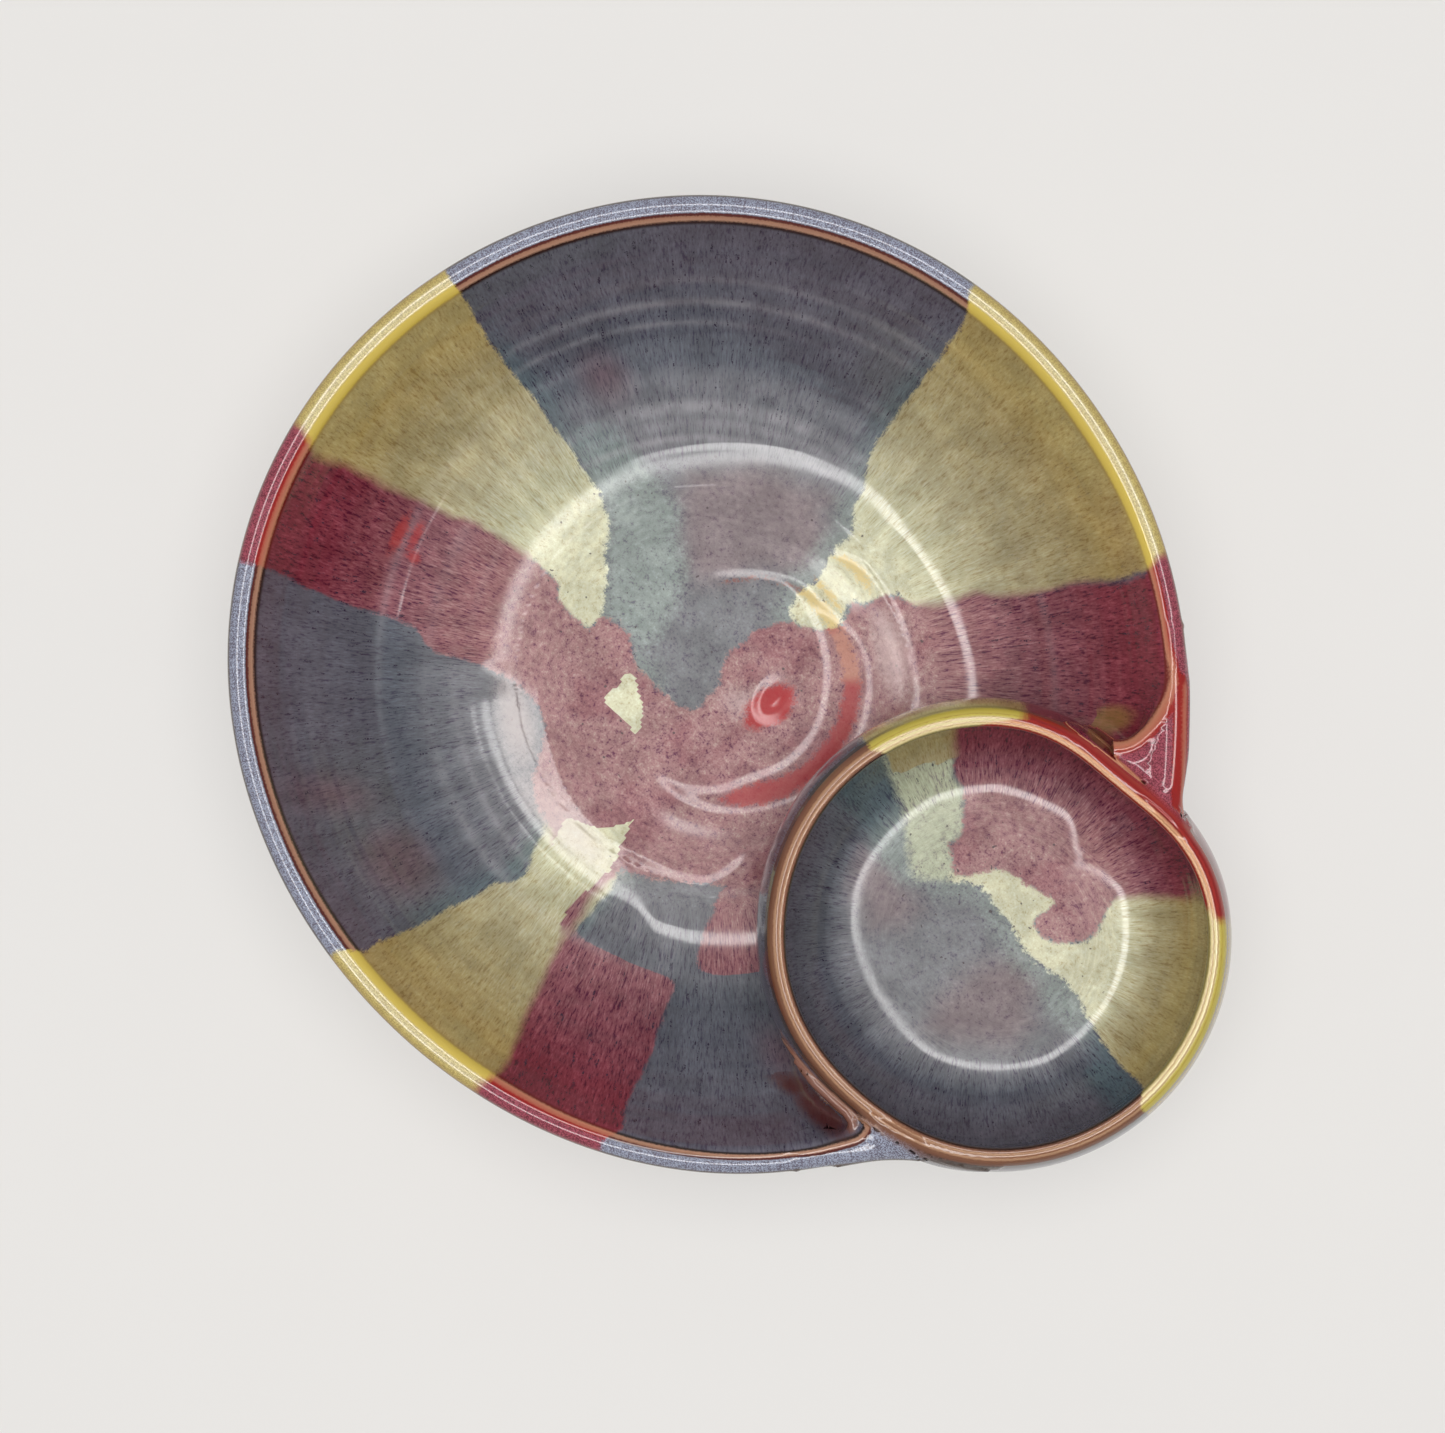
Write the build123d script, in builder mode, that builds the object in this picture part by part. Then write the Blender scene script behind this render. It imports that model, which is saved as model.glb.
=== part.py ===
"""Chip and dip server: a thrown chip bowl with a smaller thrown dip bowl let into its side.

Millimetres, +Z up. The origin is the centre of the chip bowl's foot ring, on the surface it stands on.
+X runs from the chip bowl's axis to the dip bowl's axis.
"""

import os

from build123d import *

# Chip bowl. Its plan is a slightly oval circle, with the long axis turned from +X by OVAL_TURN degrees.
RIM_LONG_RADIUS = 136.5
RIM_SHORT_RADIUS = 130.0
OVAL_TURN = -9.1
RIM_HEIGHT = 76.0
LIP_WIDTH = 8.0
FLOOR_TOP = 12.5
FLOOR_UNDERSIDE = 5.0
FOOT_OUTER_RADIUS = 58.0
FOOT_INNER_RADIUS = 50.0
FOOT_CHAMFER = 1.2

# Dip bowl. Its rim leans inwards over a fuller belly, and its base is recessed.
DIP_AXIS_X = 104.6
DIP_RIM_HEIGHT = 77.5
DIP_RIM_RADIUS = 63.5
DIP_LIP_WIDTH = 5.2
DIP_BASE_HEIGHT = 20.0
DIP_BASE_RADIUS = 36.0
DIP_RECESS_RADIUS = 29.0
DIP_RECESS_DEPTH = 1.5
DIP_FLOOR_TOP = 26.5

# Clay added where the bowls join.
COIL_REACH = 4.0
COIL_RISE = 6.0
WEB_TOP = RIM_HEIGHT - 1.0
WEB_DEPTH = 11.0
COIL_TOP = WEB_TOP - WEB_DEPTH

# Faces of the walls, as points (radius, height) joined by arcs that run smoothly into each other.
RIM_RADIUS = (RIM_LONG_RADIUS + RIM_SHORT_RADIUS) / 2
LIP_START = RIM_HEIGHT - LIP_WIDTH / 2
BOWL_INSIDE = [(0, FLOOR_TOP), (56, 14), (95, 29.5), (RIM_RADIUS - LIP_WIDTH, LIP_START)]
BOWL_OUTSIDE = [(FOOT_OUTER_RADIUS + 1, FLOOR_UNDERSIDE + 1.5), (99.2, 24.5), (RIM_RADIUS, LIP_START)]
BOWL_OUTSIDE_DIRECTION = (1, 0.14)

DIP_LIP_START = DIP_RIM_HEIGHT - DIP_LIP_WIDTH / 2
DIP_INSIDE = [(0, DIP_FLOOR_TOP), (32, 27.4), (54, 40), (DIP_RIM_RADIUS - DIP_LIP_WIDTH, DIP_LIP_START)]
DIP_OUTSIDE = [(DIP_BASE_RADIUS, DIP_BASE_HEIGHT), (59.5, 37), (DIP_RIM_RADIUS, DIP_LIP_START)]
DIP_OUTSIDE_DIRECTION = (1, 0.27)

# Plan outlines of the webs: free edges as arcs, then the corners that close each outline inside the clay.
WIDE_WEB_INNER_EDGE = [(90.5, 86.5), (96.0, 71.0), (84.0, 57.0)]
WIDE_WEB_OUTER_EDGE = [(119.5, 61.0), (111.0, 75.0), (98.5, 91.0)]
WIDE_WEB_ROOT = (108.0, 48.0)
NARROW_WEB_OUTER_EDGE = [(102.5, -86.5), (122.5, -67.8), (143.0, -52.0)]
NARROW_WEB_CORNERS = [(132.0, -44.0), (110.5, -58.0), (108.5, -70.5)]


def smooth_arcs(points, direction):
    """Arcs through the points, each one tangent to the last, in the current BuildLine."""
    for start, end in zip(points, points[1:]):
        arc = TangentArc(start, end, tangent=direction)
        direction = arc % 1


def lip(rim_radius, rim_height, width):
    """The half-round top of a rim."""
    start_height = rim_height - width / 2
    inner = (rim_radius - width, start_height)
    crest = (rim_radius - width / 2, rim_height)
    ThreePointArc(inner, crest, (rim_radius, start_height))


def bowl_wall_section():
    """Half section of the chip bowl without its foot ring."""
    heel_radius = BOWL_OUTSIDE[0][0]
    with BuildSketch(Plane.XZ) as section:
        with BuildLine():
            smooth_arcs(BOWL_INSIDE, (1, 0))
            lip(RIM_RADIUS, RIM_HEIGHT, LIP_WIDTH)
            smooth_arcs(BOWL_OUTSIDE, BOWL_OUTSIDE_DIRECTION)
            Polyline(
                BOWL_OUTSIDE[0],
                (heel_radius, FLOOR_UNDERSIDE),
                (0, FLOOR_UNDERSIDE),
                BOWL_INSIDE[0],
            )
        make_face()
    return section.sketch


def coil_section(face, direction, rise):
    """Half section of a layer of clay on one face of the chip bowl's wall, rise thick measured upright."""
    raised_face = [(radius, height + rise) for radius, height in face]
    with BuildSketch(Plane.XZ) as section:
        with BuildLine():
            smooth_arcs(face, direction)
            smooth_arcs(raised_face, direction)
            Line(face[0], raised_face[0])
            Line(face[-1], raised_face[-1])
        make_face()
    return section.sketch


def dip_wall_section():
    """Half section of the dip bowl."""
    recess_top = DIP_BASE_HEIGHT + DIP_RECESS_DEPTH
    with BuildSketch(Plane.XZ) as section:
        with BuildLine():
            smooth_arcs(DIP_INSIDE, (1, 0))
            lip(DIP_RIM_RADIUS, DIP_RIM_HEIGHT, DIP_LIP_WIDTH)
            smooth_arcs(DIP_OUTSIDE, DIP_OUTSIDE_DIRECTION)
            Polyline(
                DIP_OUTSIDE[0],
                (DIP_RECESS_RADIUS, DIP_BASE_HEIGHT),
                (DIP_RECESS_RADIUS - DIP_RECESS_DEPTH, recess_top),
                (0, recess_top),
                DIP_INSIDE[0],
            )
        make_face()
    return section.sketch


def dip_envelope_section():
    """Half section of everything inside the dip bowl's outer face, carried up past the rim."""
    open_top = DIP_RIM_HEIGHT + 10
    with BuildSketch(Plane.XZ) as section:
        with BuildLine():
            smooth_arcs(DIP_OUTSIDE, DIP_OUTSIDE_DIRECTION)
            Polyline(
                DIP_OUTSIDE[-1],
                (DIP_RIM_RADIUS, open_top),
                (0, open_top),
                (0, DIP_BASE_HEIGHT),
                DIP_OUTSIDE[0],
            )
        make_face()
    return section.sketch


def dip_layer_section():
    """Half section of a layer COIL_REACH thick over the dip bowl's outer face and base."""
    base_radius, base_height = DIP_OUTSIDE[0]
    bend_radius, bend_height = DIP_OUTSIDE[1]
    lip_radius, lip_height = DIP_OUTSIDE[2]
    outer_face = [
        (base_radius + COIL_REACH / 2, base_height - COIL_REACH),
        (bend_radius + COIL_REACH * 0.84, bend_height - COIL_REACH * 0.54),
        (lip_radius + COIL_REACH, lip_height),
    ]
    with BuildSketch(Plane.XZ) as section:
        with BuildLine():
            smooth_arcs(DIP_OUTSIDE, DIP_OUTSIDE_DIRECTION)
            smooth_arcs(outer_face, DIP_OUTSIDE_DIRECTION)
            Line(DIP_OUTSIDE[-1], outer_face[-1])
            Polyline(DIP_OUTSIDE[0], (0, base_height), (0, base_height - COIL_REACH), outer_face[0])
        make_face()
    return section.sketch


def oval_body(section):
    """A solid with the chip bowl's oval plan, from a half section drawn for the mean radius."""
    with BuildPart() as round_body:
        add(section)
        revolve(axis=Axis.Z)
        scale(by=(RIM_LONG_RADIUS / RIM_RADIUS, RIM_SHORT_RADIUS / RIM_RADIUS, 1))
    with BuildPart() as turned_body:
        add(round_body.part, rotation=(0, 0, OVAL_TURN))
    return turned_body.part


def dip_body(section):
    """A solid of revolution about the dip bowl's axis."""
    with BuildPart() as centred_body:
        add(section)
        revolve(axis=Axis.Z)
    return centred_body.part.moved(Location((DIP_AXIS_X, 0, 0)))


def finish(piece, name):
    """Label a finished piece and write it as its own STEP file."""
    piece.part.label = name
    export_step(piece.part, f"parts/{name}.step")


os.makedirs("parts", exist_ok=True)

dip_envelope = dip_body(dip_envelope_section())
dip_layer = dip_body(dip_layer_section())

# Webs: thick plates of clay at the corners between the rims. The chip bowl's lip stops against them.
with BuildPart() as wide_rim_web:
    with BuildSketch(Plane.XY.offset(WEB_TOP)):
        with BuildLine():
            ThreePointArc(*WIDE_WEB_INNER_EDGE)
            Polyline(WIDE_WEB_INNER_EDGE[-1], WIDE_WEB_ROOT, WIDE_WEB_OUTER_EDGE[0])
            ThreePointArc(*WIDE_WEB_OUTER_EDGE)
            Line(WIDE_WEB_OUTER_EDGE[-1], WIDE_WEB_INNER_EDGE[0])
        make_face()
    extrude(amount=-WEB_DEPTH)
    add(dip_envelope, mode=Mode.SUBTRACT)

with BuildPart() as narrow_rim_web:
    with BuildSketch(Plane.XY.offset(WEB_TOP)):
        with BuildLine():
            ThreePointArc(*NARROW_WEB_OUTER_EDGE)
            Polyline(NARROW_WEB_OUTER_EDGE[-1], *NARROW_WEB_CORNERS, NARROW_WEB_OUTER_EDGE[0])
        make_face()
    extrude(amount=-WEB_DEPTH)
    add(dip_envelope, mode=Mode.SUBTRACT)

# The oval body is thrown first. The foot ring is trimmed round, and the side is cut for the dip bowl.
with BuildPart() as chip_bowl:
    add(oval_body(bowl_wall_section()))
    with BuildSketch(Plane.XY):
        Circle(FOOT_OUTER_RADIUS)
        Circle(FOOT_INNER_RADIUS, mode=Mode.SUBTRACT)
    extrude(amount=FLOOR_UNDERSIDE + 1)
    chamfer(chip_bowl.edges().group_by(Axis.Z)[0], length=FOOT_CHAMFER)
    add([dip_envelope, wide_rim_web.part, narrow_rim_web.part], mode=Mode.SUBTRACT)

with BuildPart() as dip_bowl:
    add(dip_body(dip_wall_section()))

# Coils: strips of clay along the joint, one lying on the inner face of the wall and one under it.
with BuildPart() as inner_seam:
    add(oval_body(coil_section(BOWL_INSIDE, (1, 0), COIL_RISE)))
    add(dip_layer, mode=Mode.INTERSECT)
    split(bisect_by=Plane.XY.offset(COIL_TOP), keep=Keep.BOTTOM)

with BuildPart() as outer_seam:
    add(oval_body(coil_section(BOWL_OUTSIDE, BOWL_OUTSIDE_DIRECTION, -COIL_RISE)))
    add(dip_layer, mode=Mode.INTERSECT)
    split(bisect_by=Plane.XY.offset(COIL_TOP), keep=Keep.BOTTOM)

finish(chip_bowl, "chip_bowl")
finish(dip_bowl, "dip_bowl")
finish(wide_rim_web, "wide_rim_web")
finish(narrow_rim_web, "narrow_rim_web")
finish(inner_seam, "inner_seam")
finish(outer_seam, "outer_seam")
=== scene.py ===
"""Looks for the chip and dip server: its glazed forms, their glazes, the floor, the light and the camera.

The pot is described as one distance field in millimetres: negative inside the clay, zero on its surface.
Six closed pieces are cut from that field, one for each CAD node, so their surfaces run into each other
without a step. Vertex attributes say where each glaze lies, and the material turns them into colour.
"""

import math
from types import SimpleNamespace

import bpy
import numpy as np
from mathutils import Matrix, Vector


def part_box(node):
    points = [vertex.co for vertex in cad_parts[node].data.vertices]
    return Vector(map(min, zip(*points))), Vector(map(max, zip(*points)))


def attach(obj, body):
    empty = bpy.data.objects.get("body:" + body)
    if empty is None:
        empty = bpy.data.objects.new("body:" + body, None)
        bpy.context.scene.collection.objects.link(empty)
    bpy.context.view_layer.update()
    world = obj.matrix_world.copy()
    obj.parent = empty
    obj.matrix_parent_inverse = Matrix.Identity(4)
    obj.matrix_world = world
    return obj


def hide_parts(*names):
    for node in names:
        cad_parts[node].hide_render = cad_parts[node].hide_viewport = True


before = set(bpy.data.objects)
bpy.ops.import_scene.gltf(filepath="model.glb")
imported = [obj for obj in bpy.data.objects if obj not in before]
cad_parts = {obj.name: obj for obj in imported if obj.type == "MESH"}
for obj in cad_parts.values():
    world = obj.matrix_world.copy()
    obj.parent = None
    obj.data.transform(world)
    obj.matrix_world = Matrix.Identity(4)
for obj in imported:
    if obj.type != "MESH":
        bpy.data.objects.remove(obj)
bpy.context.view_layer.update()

MM = 0.001

# Spacing of the lattice that the surface is found on, and how many of its cells make a block.
CELL = 0.9
BLOCK = 8


# ---------------------------------------------------------------- sizes, from the CAD frame, in millimetres

bowl_low, bowl_high = (np.array(corner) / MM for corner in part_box("chip_bowl"))
dip_low, dip_high = (np.array(corner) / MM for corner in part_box("dip_bowl"))

RIM_HEIGHT = bowl_high[2]
DIP_RIM_HEIGHT = dip_high[2]
DIP_AXIS_X = (dip_low[0] + dip_high[0]) / 2
DIP_BASE_HEIGHT = dip_low[2]

# The chip bowl's rim is an oval: mean radius, and how much longer and shorter it is than that.
MEAN_RADIUS = 133.25
LONG_SCALE = 136.5 / MEAN_RADIUS
SHORT_SCALE = 130.0 / MEAN_RADIUS
OVAL_TURN = math.radians(-9.1)

# The two trimmed foot rings.
FOOT_OUTER_RADIUS = 58.0
FOOT_INNER_RADIUS = 50.0
FOOT_HEIGHT = 9.0
FOOT_EDGE = 1.0
DIP_FOOT_RADIUS = 32.5

# Rims: half their width, how far the crest stands off the wall's middle line, and how much higher its dome
# is than half round.
LIP_HALF = 4.0
LIP_CREST = -0.65
LIP_EXTRA = 1.0
DIP_LIP_HALF = 2.6
DIP_LIP_CREST = 0.6
DIP_LIP_RADIUS = 60.9

# Middle lines of the two walls: (radius, height), joined by arcs that run smoothly into each other.
BOWL_MIDDLE = [(0, 8.75), (57.5, 10.1), (97.1, 27.0), (MEAN_RADIUS - LIP_HALF, RIM_HEIGHT - LIP_HALF)]
DIP_MIDDLE = [(0, 23.8), (33.0, 24.6), (56.8, 38.5), (DIP_LIP_RADIUS, DIP_RIM_HEIGHT - DIP_LIP_HALF)]


# ---------------------------------------------------------------- small numeric helpers


def ramp(value, low, high):
    """Smooth step from 0 at low to 1 at high."""
    t = np.clip((value - low) / (high - low), 0.0, 1.0)
    return t * t * (3.0 - 2.0 * t)


def hill(value, centre, half_width):
    """Smooth hill of height 1 at centre, down to 0 at half_width either side."""
    t = np.clip(np.abs(value - centre) / half_width, 0.0, 1.0)
    return 0.5 + 0.5 * np.cos(np.pi * t)


def smooth_min(a, b, reach):
    """Smaller of a and b, blended where they differ by less than reach."""
    overlap = np.maximum(reach - np.abs(a - b), 0.0) / reach
    return np.minimum(a, b) - overlap * overlap * reach * 0.25


def lattice_value(ix, iy, iz, seed):
    """Repeatable value in -1..1 for each whole-number lattice point."""
    h = ix * 374761393 + iy * 668265263 + iz * 2147483647 + seed * 1274126177
    h = (h ^ (h >> 13)) * 1274126177
    h = h ^ (h >> 16)
    return (h & 0xFFFF) / 32767.5 - 1.0


def noise(points, size, seed):
    """Smooth value noise in -1..1, with features about size across."""
    p = points / size
    base = np.floor(p).astype(np.int64)
    f = p - base
    f = f * f * (3.0 - 2.0 * f)
    total = np.zeros(len(points))
    for dx in (0, 1):
        for dy in (0, 1):
            for dz in (0, 1):
                weight = np.abs(1 - dx - f[:, 0]) * np.abs(1 - dy - f[:, 1]) * np.abs(1 - dz - f[:, 2])
                total += weight * lattice_value(base[:, 0] + dx, base[:, 1] + dy, base[:, 2] + dz, seed)
    return total


def turbulence(points, size, seed):
    """Two octaves of noise."""
    return 0.65 * noise(points, size, seed) + 0.35 * noise(points, size * 0.45, seed + 7)


def rounded_block(across, up, edge):
    """Distance field of a block edge larger all round than the one whose sides and ends are measured."""
    outside = np.hypot(np.maximum(across, 0), np.maximum(up, 0))
    return outside + np.minimum(np.maximum(across, up), 0) - edge


def mix(a, b, t):
    """Goes from a to b as t goes from 0 to 1."""
    return a + (b - a) * t


def angle_between(angle, centre):
    """Signed difference of angles in degrees, in -180..180."""
    return (angle - centre + 180.0) % 360.0 - 180.0


def bump(angle, centre, half_width):
    """Soft bump of height 1 at an angle."""
    return np.exp(-((angle_between(angle, centre) / half_width) ** 2))


# ---------------------------------------------------------------- walls


class WallLine:
    """A wall's middle line, as tangent arcs in (radius, height)."""

    def __init__(self, points):
        self.arcs = []
        direction = 0.0
        travelled = 0.0
        for (r0, z0), (r1, z1) in zip(points, points[1:]):
            chord = math.hypot(r1 - r0, z1 - z0)
            turn = 2.0 * (math.atan2(z1 - z0, r1 - r0) - direction)
            radius = chord / (2.0 * math.sin(turn / 2.0))
            centre = (r0 - radius * math.sin(direction), z0 + radius * math.cos(direction))
            self.arcs.append((centre, radius, direction, turn, travelled))
            direction += turn
            travelled += radius * turn
        self.length = travelled
        self.end = points[-1]
        self.end_direction = direction

    def measure(self, r, z):
        """For each point: signed distance from the line, above it positive, and distance along it.

        Past the end of the line, along is more than length.
        """
        best = np.full(r.shape, 1e9)
        side = np.zeros(r.shape)
        along = np.zeros(r.shape)
        for index, (centre, radius, direction, turn, travelled) in enumerate(self.arcs):
            dr = r - centre[0]
            dz = z - centre[1]
            angle = np.arctan2(dr, -dz) - direction
            angle = (angle + np.pi) % (2.0 * np.pi) - np.pi
            swept = np.clip(angle, 0.0, turn)
            near_r = centre[0] + radius * np.sin(direction + swept)
            near_z = centre[1] - radius * np.cos(direction + swept)
            distance = np.hypot(r - near_r, z - near_z)
            nearer = distance < best
            best = np.where(nearer, distance, best)
            inside = radius - np.hypot(dr, dz)
            side = np.where(nearer, np.where(inside >= 0, distance, -distance), side)
            along = np.where(nearer, travelled + radius * swept, along)
        tangent = (math.cos(self.end_direction), math.sin(self.end_direction))
        past = (r - self.end[0]) * tangent[0] + (z - self.end[1]) * tangent[1]
        across = -(r - self.end[0]) * tangent[1] + (z - self.end[1]) * tangent[0]
        beyond = (past > 0) & (along > self.length - 1e-6)
        side = np.where(beyond, across, side)
        along = np.where(beyond, self.length + past, along)
        return side, along


# How far the chip bowl's rim wanders from its oval, and how far the wide web pulls it in, in mm.
RIM_WANDER = 0.85
RIM_PULL = 2.0
# How much of its radius the dip bowl's rim loses beside each web, and gains between them.
WIDE_SQUEEZE = 0.098
NARROW_SQUEEZE = 0.028
NOTCH_BULGE = 0.012

BOWL_LINE = WallLine(BOWL_MIDDLE)
DIP_LINE = WallLine(DIP_MIDDLE)


def bowl_polar(points):
    """Radius in the chip bowl's round plan, and angle in degrees about its axis."""
    cos_turn = math.cos(OVAL_TURN)
    sin_turn = math.sin(OVAL_TURN)
    u = (points[:, 0] * cos_turn + points[:, 1] * sin_turn) / LONG_SCALE
    v = (-points[:, 0] * sin_turn + points[:, 1] * cos_turn) / SHORT_SCALE
    angle = np.degrees(np.arctan2(points[:, 1], points[:, 0]))
    wobble = 0.2 + RIM_WANDER * np.cos(np.radians(3.45 * (angle % 360.0 - 112)))
    wobble -= RIM_PULL * bump(angle, 35, 20)
    return np.hypot(u, v) - wobble * ramp(points[:, 2], 30, 68), angle


def dip_polar(points):
    """Radius and angle in degrees about the dip bowl's axis."""
    x = points[:, 0] - DIP_AXIS_X
    angle = np.degrees(np.arctan2(points[:, 1], x))
    squeeze = WIDE_SQUEEZE * bump(angle, 92, 25)
    squeeze += NARROW_SQUEEZE * bump(angle, 272, 25) - NOTCH_BULGE * hill(angle_between(angle, 175), 0, 50)
    return np.hypot(x, points[:, 1]) / (1 - squeeze * ramp(points[:, 2], 36, 72)), angle


def lip_distance(side, past, half, crest):
    """Distance field of a rim past the end of its wall: a dome, highest at crest on the way across."""
    across = side - crest
    across = across * np.where(across > 0, half / (half - crest), half / (half + crest))
    return np.hypot(across, past * half / (half + LIP_EXTRA)) - half


def throwing_rings(along, angle, start, pitch, seed):
    """Uneven shallow ridges left by the fingers, in -1..1, that wind slowly outwards."""
    turn = angle / 360.0
    phase = (along - start) / pitch + turn + 0.35 * np.sin(np.radians(angle) * 2 + seed)
    wave = np.sin(2 * np.pi * phase) + 0.45 * np.sin(2 * np.pi * phase * 2.37 + seed)
    return wave / 1.45


def around(angle, stops):
    """Value at each angle, smoothly between stops (degrees, value) that go once around from 0 to 360."""
    angles, values = np.array(stops, float).T
    fine = np.arange(0.0, 361.0, 1.0)
    kernel = np.hanning(13) / np.hanning(13).sum()
    rough = np.interp(fine[:-1], angles, values)
    smooth = np.convolve(np.concatenate([rough[-6:], rough, rough[:6]]), kernel, "valid")
    return np.interp(angle % 360.0, fine, np.append(smooth, smooth[0]))


# Where the chip bowl's floor turns up into its wall: (angle, radius).
FLOOR_EDGE = [
    (0, 70), (40, 73.5), (50, 73), (60, 72), (70, 69.8), (80, 69.5), (90, 70.6), (100, 70), (110, 67.8),
    (120, 65.3), (130, 62.8), (140, 61), (150, 61.8), (160, 60), (170, 60.1), (180, 60.1), (190, 59.4),
    (200, 59.5), (210, 58.8), (220, 65), (228, 67.4), (280, 67.4), (292, 69.5), (305, 71), (320, 71),
    (360, 70),
]
FLOOR_EDGE_RADIUS = 67.4
DIP_FLOOR_EDGE = [
    (0, 38.5), (30, 38.5), (50, 38.8), (60, 39), (70, 36.8), (80, 32.8), (86, 36), (94, 39.7), (100, 40.5),
    (110, 40.4), (120, 41), (130, 41.8), (140, 41.7), (170, 40.8), (200, 40.6), (220, 39.8), (240, 37.6),
    (255, 37), (285, 39), (310, 38.8), (335, 39.5), (360, 38.5),
]
DIP_FLOOR_EDGE_RADIUS = 37.75

# Finger ridges on the floor: (angle, radius where the ridge rises, strength).
RIDGES = [
    [
        (0, 30.3, 1), (20, 31.7, 1), (40, 32.6, 1), (50, 33.5, 1), (60, 34.3, 1), (70, 35.2, 1),
        (80, 36, 1), (88, 36.8, 0.8), (98, 37.5, 0), (140, 34, 0), (268, 31.5, 0), (285, 31.5, 0.9),
        (300, 31, 1), (315, 30, 1), (330, 28.2, 1), (340, 28.5, 1), (350, 29.5, 1), (360, 30.3, 1),
    ],
    [
        (0, 41, 1.3), (20, 43.5, 1.3), (40, 45, 1.35), (50, 45.2, 1.35), (60, 44.5, 1.35), (65, 43, 1.3),
        (70, 41.6, 1.3), (75, 40.3, 1.3), (80, 39.5, 1.25), (90, 38.8, 1.15), (100, 37.2, 1.1),
        (110, 35, 1.05), (120, 33.3, 1), (130, 32, 0.85), (144, 31, 0), (280, 33, 0), (295, 34.2, 1),
        (310, 35.8, 1.3), (320, 36.5, 1.3), (330, 37.4, 1.3), (340, 38.2, 1.3), (360, 41, 1.3),
    ],
    [
        (0, 58, 1.15), (40, 58.5, 1.2), (60, 58, 1.2), (75, 57.5, 1.2), (80, 57, 1.2), (85, 55.5, 1.15),
        (90, 52.5, 1.1), (98, 50, 0), (280, 54.5, 0), (294, 55.6, 1), (300, 56.3, 1.05), (310, 56.5, 1.05),
        (316, 53.5, 1), (322, 49, 1), (330, 46, 0.5), (345, 52, 0.5), (360, 58, 1.15),
    ],
]
# How steep a ridge is, half how wide its rise is, and how long it takes to fall away.
RIDGE_SLOPE = 0.195
RIDGE_HALF = 3.7
RIDGE_FALL = 11.0
# The stretch of floor that slopes evenly: how steep it is, and where it starts and ends.
CONE_SLOPE = 0.2385
CONE_START = [(0, 51), (215, 51), (240, 51), (262, 54), (285, 54.5), (300, 54.5), (360, 51)]
CONE_END = 63.0

# Faint turning lines on the wall, where it flattens for a moment: (angle, radius, strength).
WALL_STEPS = [
    [
        (0, 82, 0), (100, 82, 0), (110, 81.2, 1), (120, 80.8, 1), (140, 79.5, 1), (158, 78, 0.6),
        (168, 77, 0), (360, 82, 0),
    ],
    [
        (0, 80, 0), (106, 80, 0), (118, 79, 0.8), (130, 76.5, 0.8), (140, 75, 0.8), (156, 74, 0.5),
        (166, 73, 0), (360, 80, 0),
    ],
    [
        (0, 73, 0), (104, 73, 0), (115, 71, 0.4), (125, 69.5, 0.4), (140, 68, 0.4), (160, 67, 0),
        (360, 73, 0),
    ],
    [
        (0, 108, 0), (105, 108, 0), (118, 108, 0.5), (140, 107, 0.5), (160, 106, 0), (360, 108, 0),
    ],
]
WALL_STEP_SLOPE = -0.17

# The button that the fingers left at the middle: where it is, its height and the dent in its top.
KNOB = (15.8, 7.3)
KNOB_HEIGHT = 1.05
KNOB_DENT = 0.45
UNEVENNESS = 0.05

# The same middle lines as heights: the arc's centre radius, centre height, size and reach, then the curve of
# the floor inside it.
BOWL_ARC = (54.6, 71.7, 61.7, 50, 2440.0)
DIP_ARC = (31.55, 54.37, 29.8, 26, 1361.0)


def profile(radius, middle, arc):
    """Height of a middle line over its floor and the arc that turns up into its wall."""
    centre_radius, centre_height, size, reach, curve = arc
    out = np.clip(radius - centre_radius, 0, reach)
    turned_up = centre_height - np.sqrt(np.maximum(size**2 - out**2, 1.0))
    return np.where(radius > middle[1][0], turned_up, middle[0][1] + radius * radius / curve)


def bowl_profile(radius):
    """Height of the chip bowl's middle line."""
    return profile(radius, BOWL_MIDDLE, BOWL_ARC)


def dip_profile(radius):
    """Height of the dip bowl's middle line."""
    return profile(radius, DIP_MIDDLE, DIP_ARC)


def rise(x, slope, half_width, fall):
    """A ridge that rises over x = -half_width..half_width, steepest in the middle, then falls away slowly."""
    swept = np.clip(x, -half_width, half_width)
    bulge = half_width / (2 * np.pi) * np.sin(np.pi * swept / half_width)
    height = slope * (0.5 * (swept + half_width) + bulge)
    return height * (1 - ramp(x, half_width, half_width + fall))


def wound_ridge(radius, angle, stops, slope, half_width, fall):
    """A ridge wound round the pot along stops of (angle, radius, strength)."""
    middle = around(angle, [(a, r) for a, r, _ in stops])
    strength = around(angle, [(a, s) for a, _, s in stops])
    return strength * rise(radius - middle, slope, half_width, fall)


def cone_relief(radius, angle):
    """The stretch of floor that slopes evenly up to the wall."""
    start = around(angle, CONE_START)
    swept = np.clip(radius, start, CONE_END)
    climb = CONE_SLOPE * (swept - start) - (bowl_profile(swept) - bowl_profile(start))
    climb += np.interp(radius - CONE_END, [0, 3, 7, 12], [0, 0.3, 0.5, 0.5])
    turn = angle % 360.0
    return climb * ramp(turn, 215, 227) * (1 - ramp(turn, 284, 299)) * (1 - ramp(radius, 75, 104))


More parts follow.
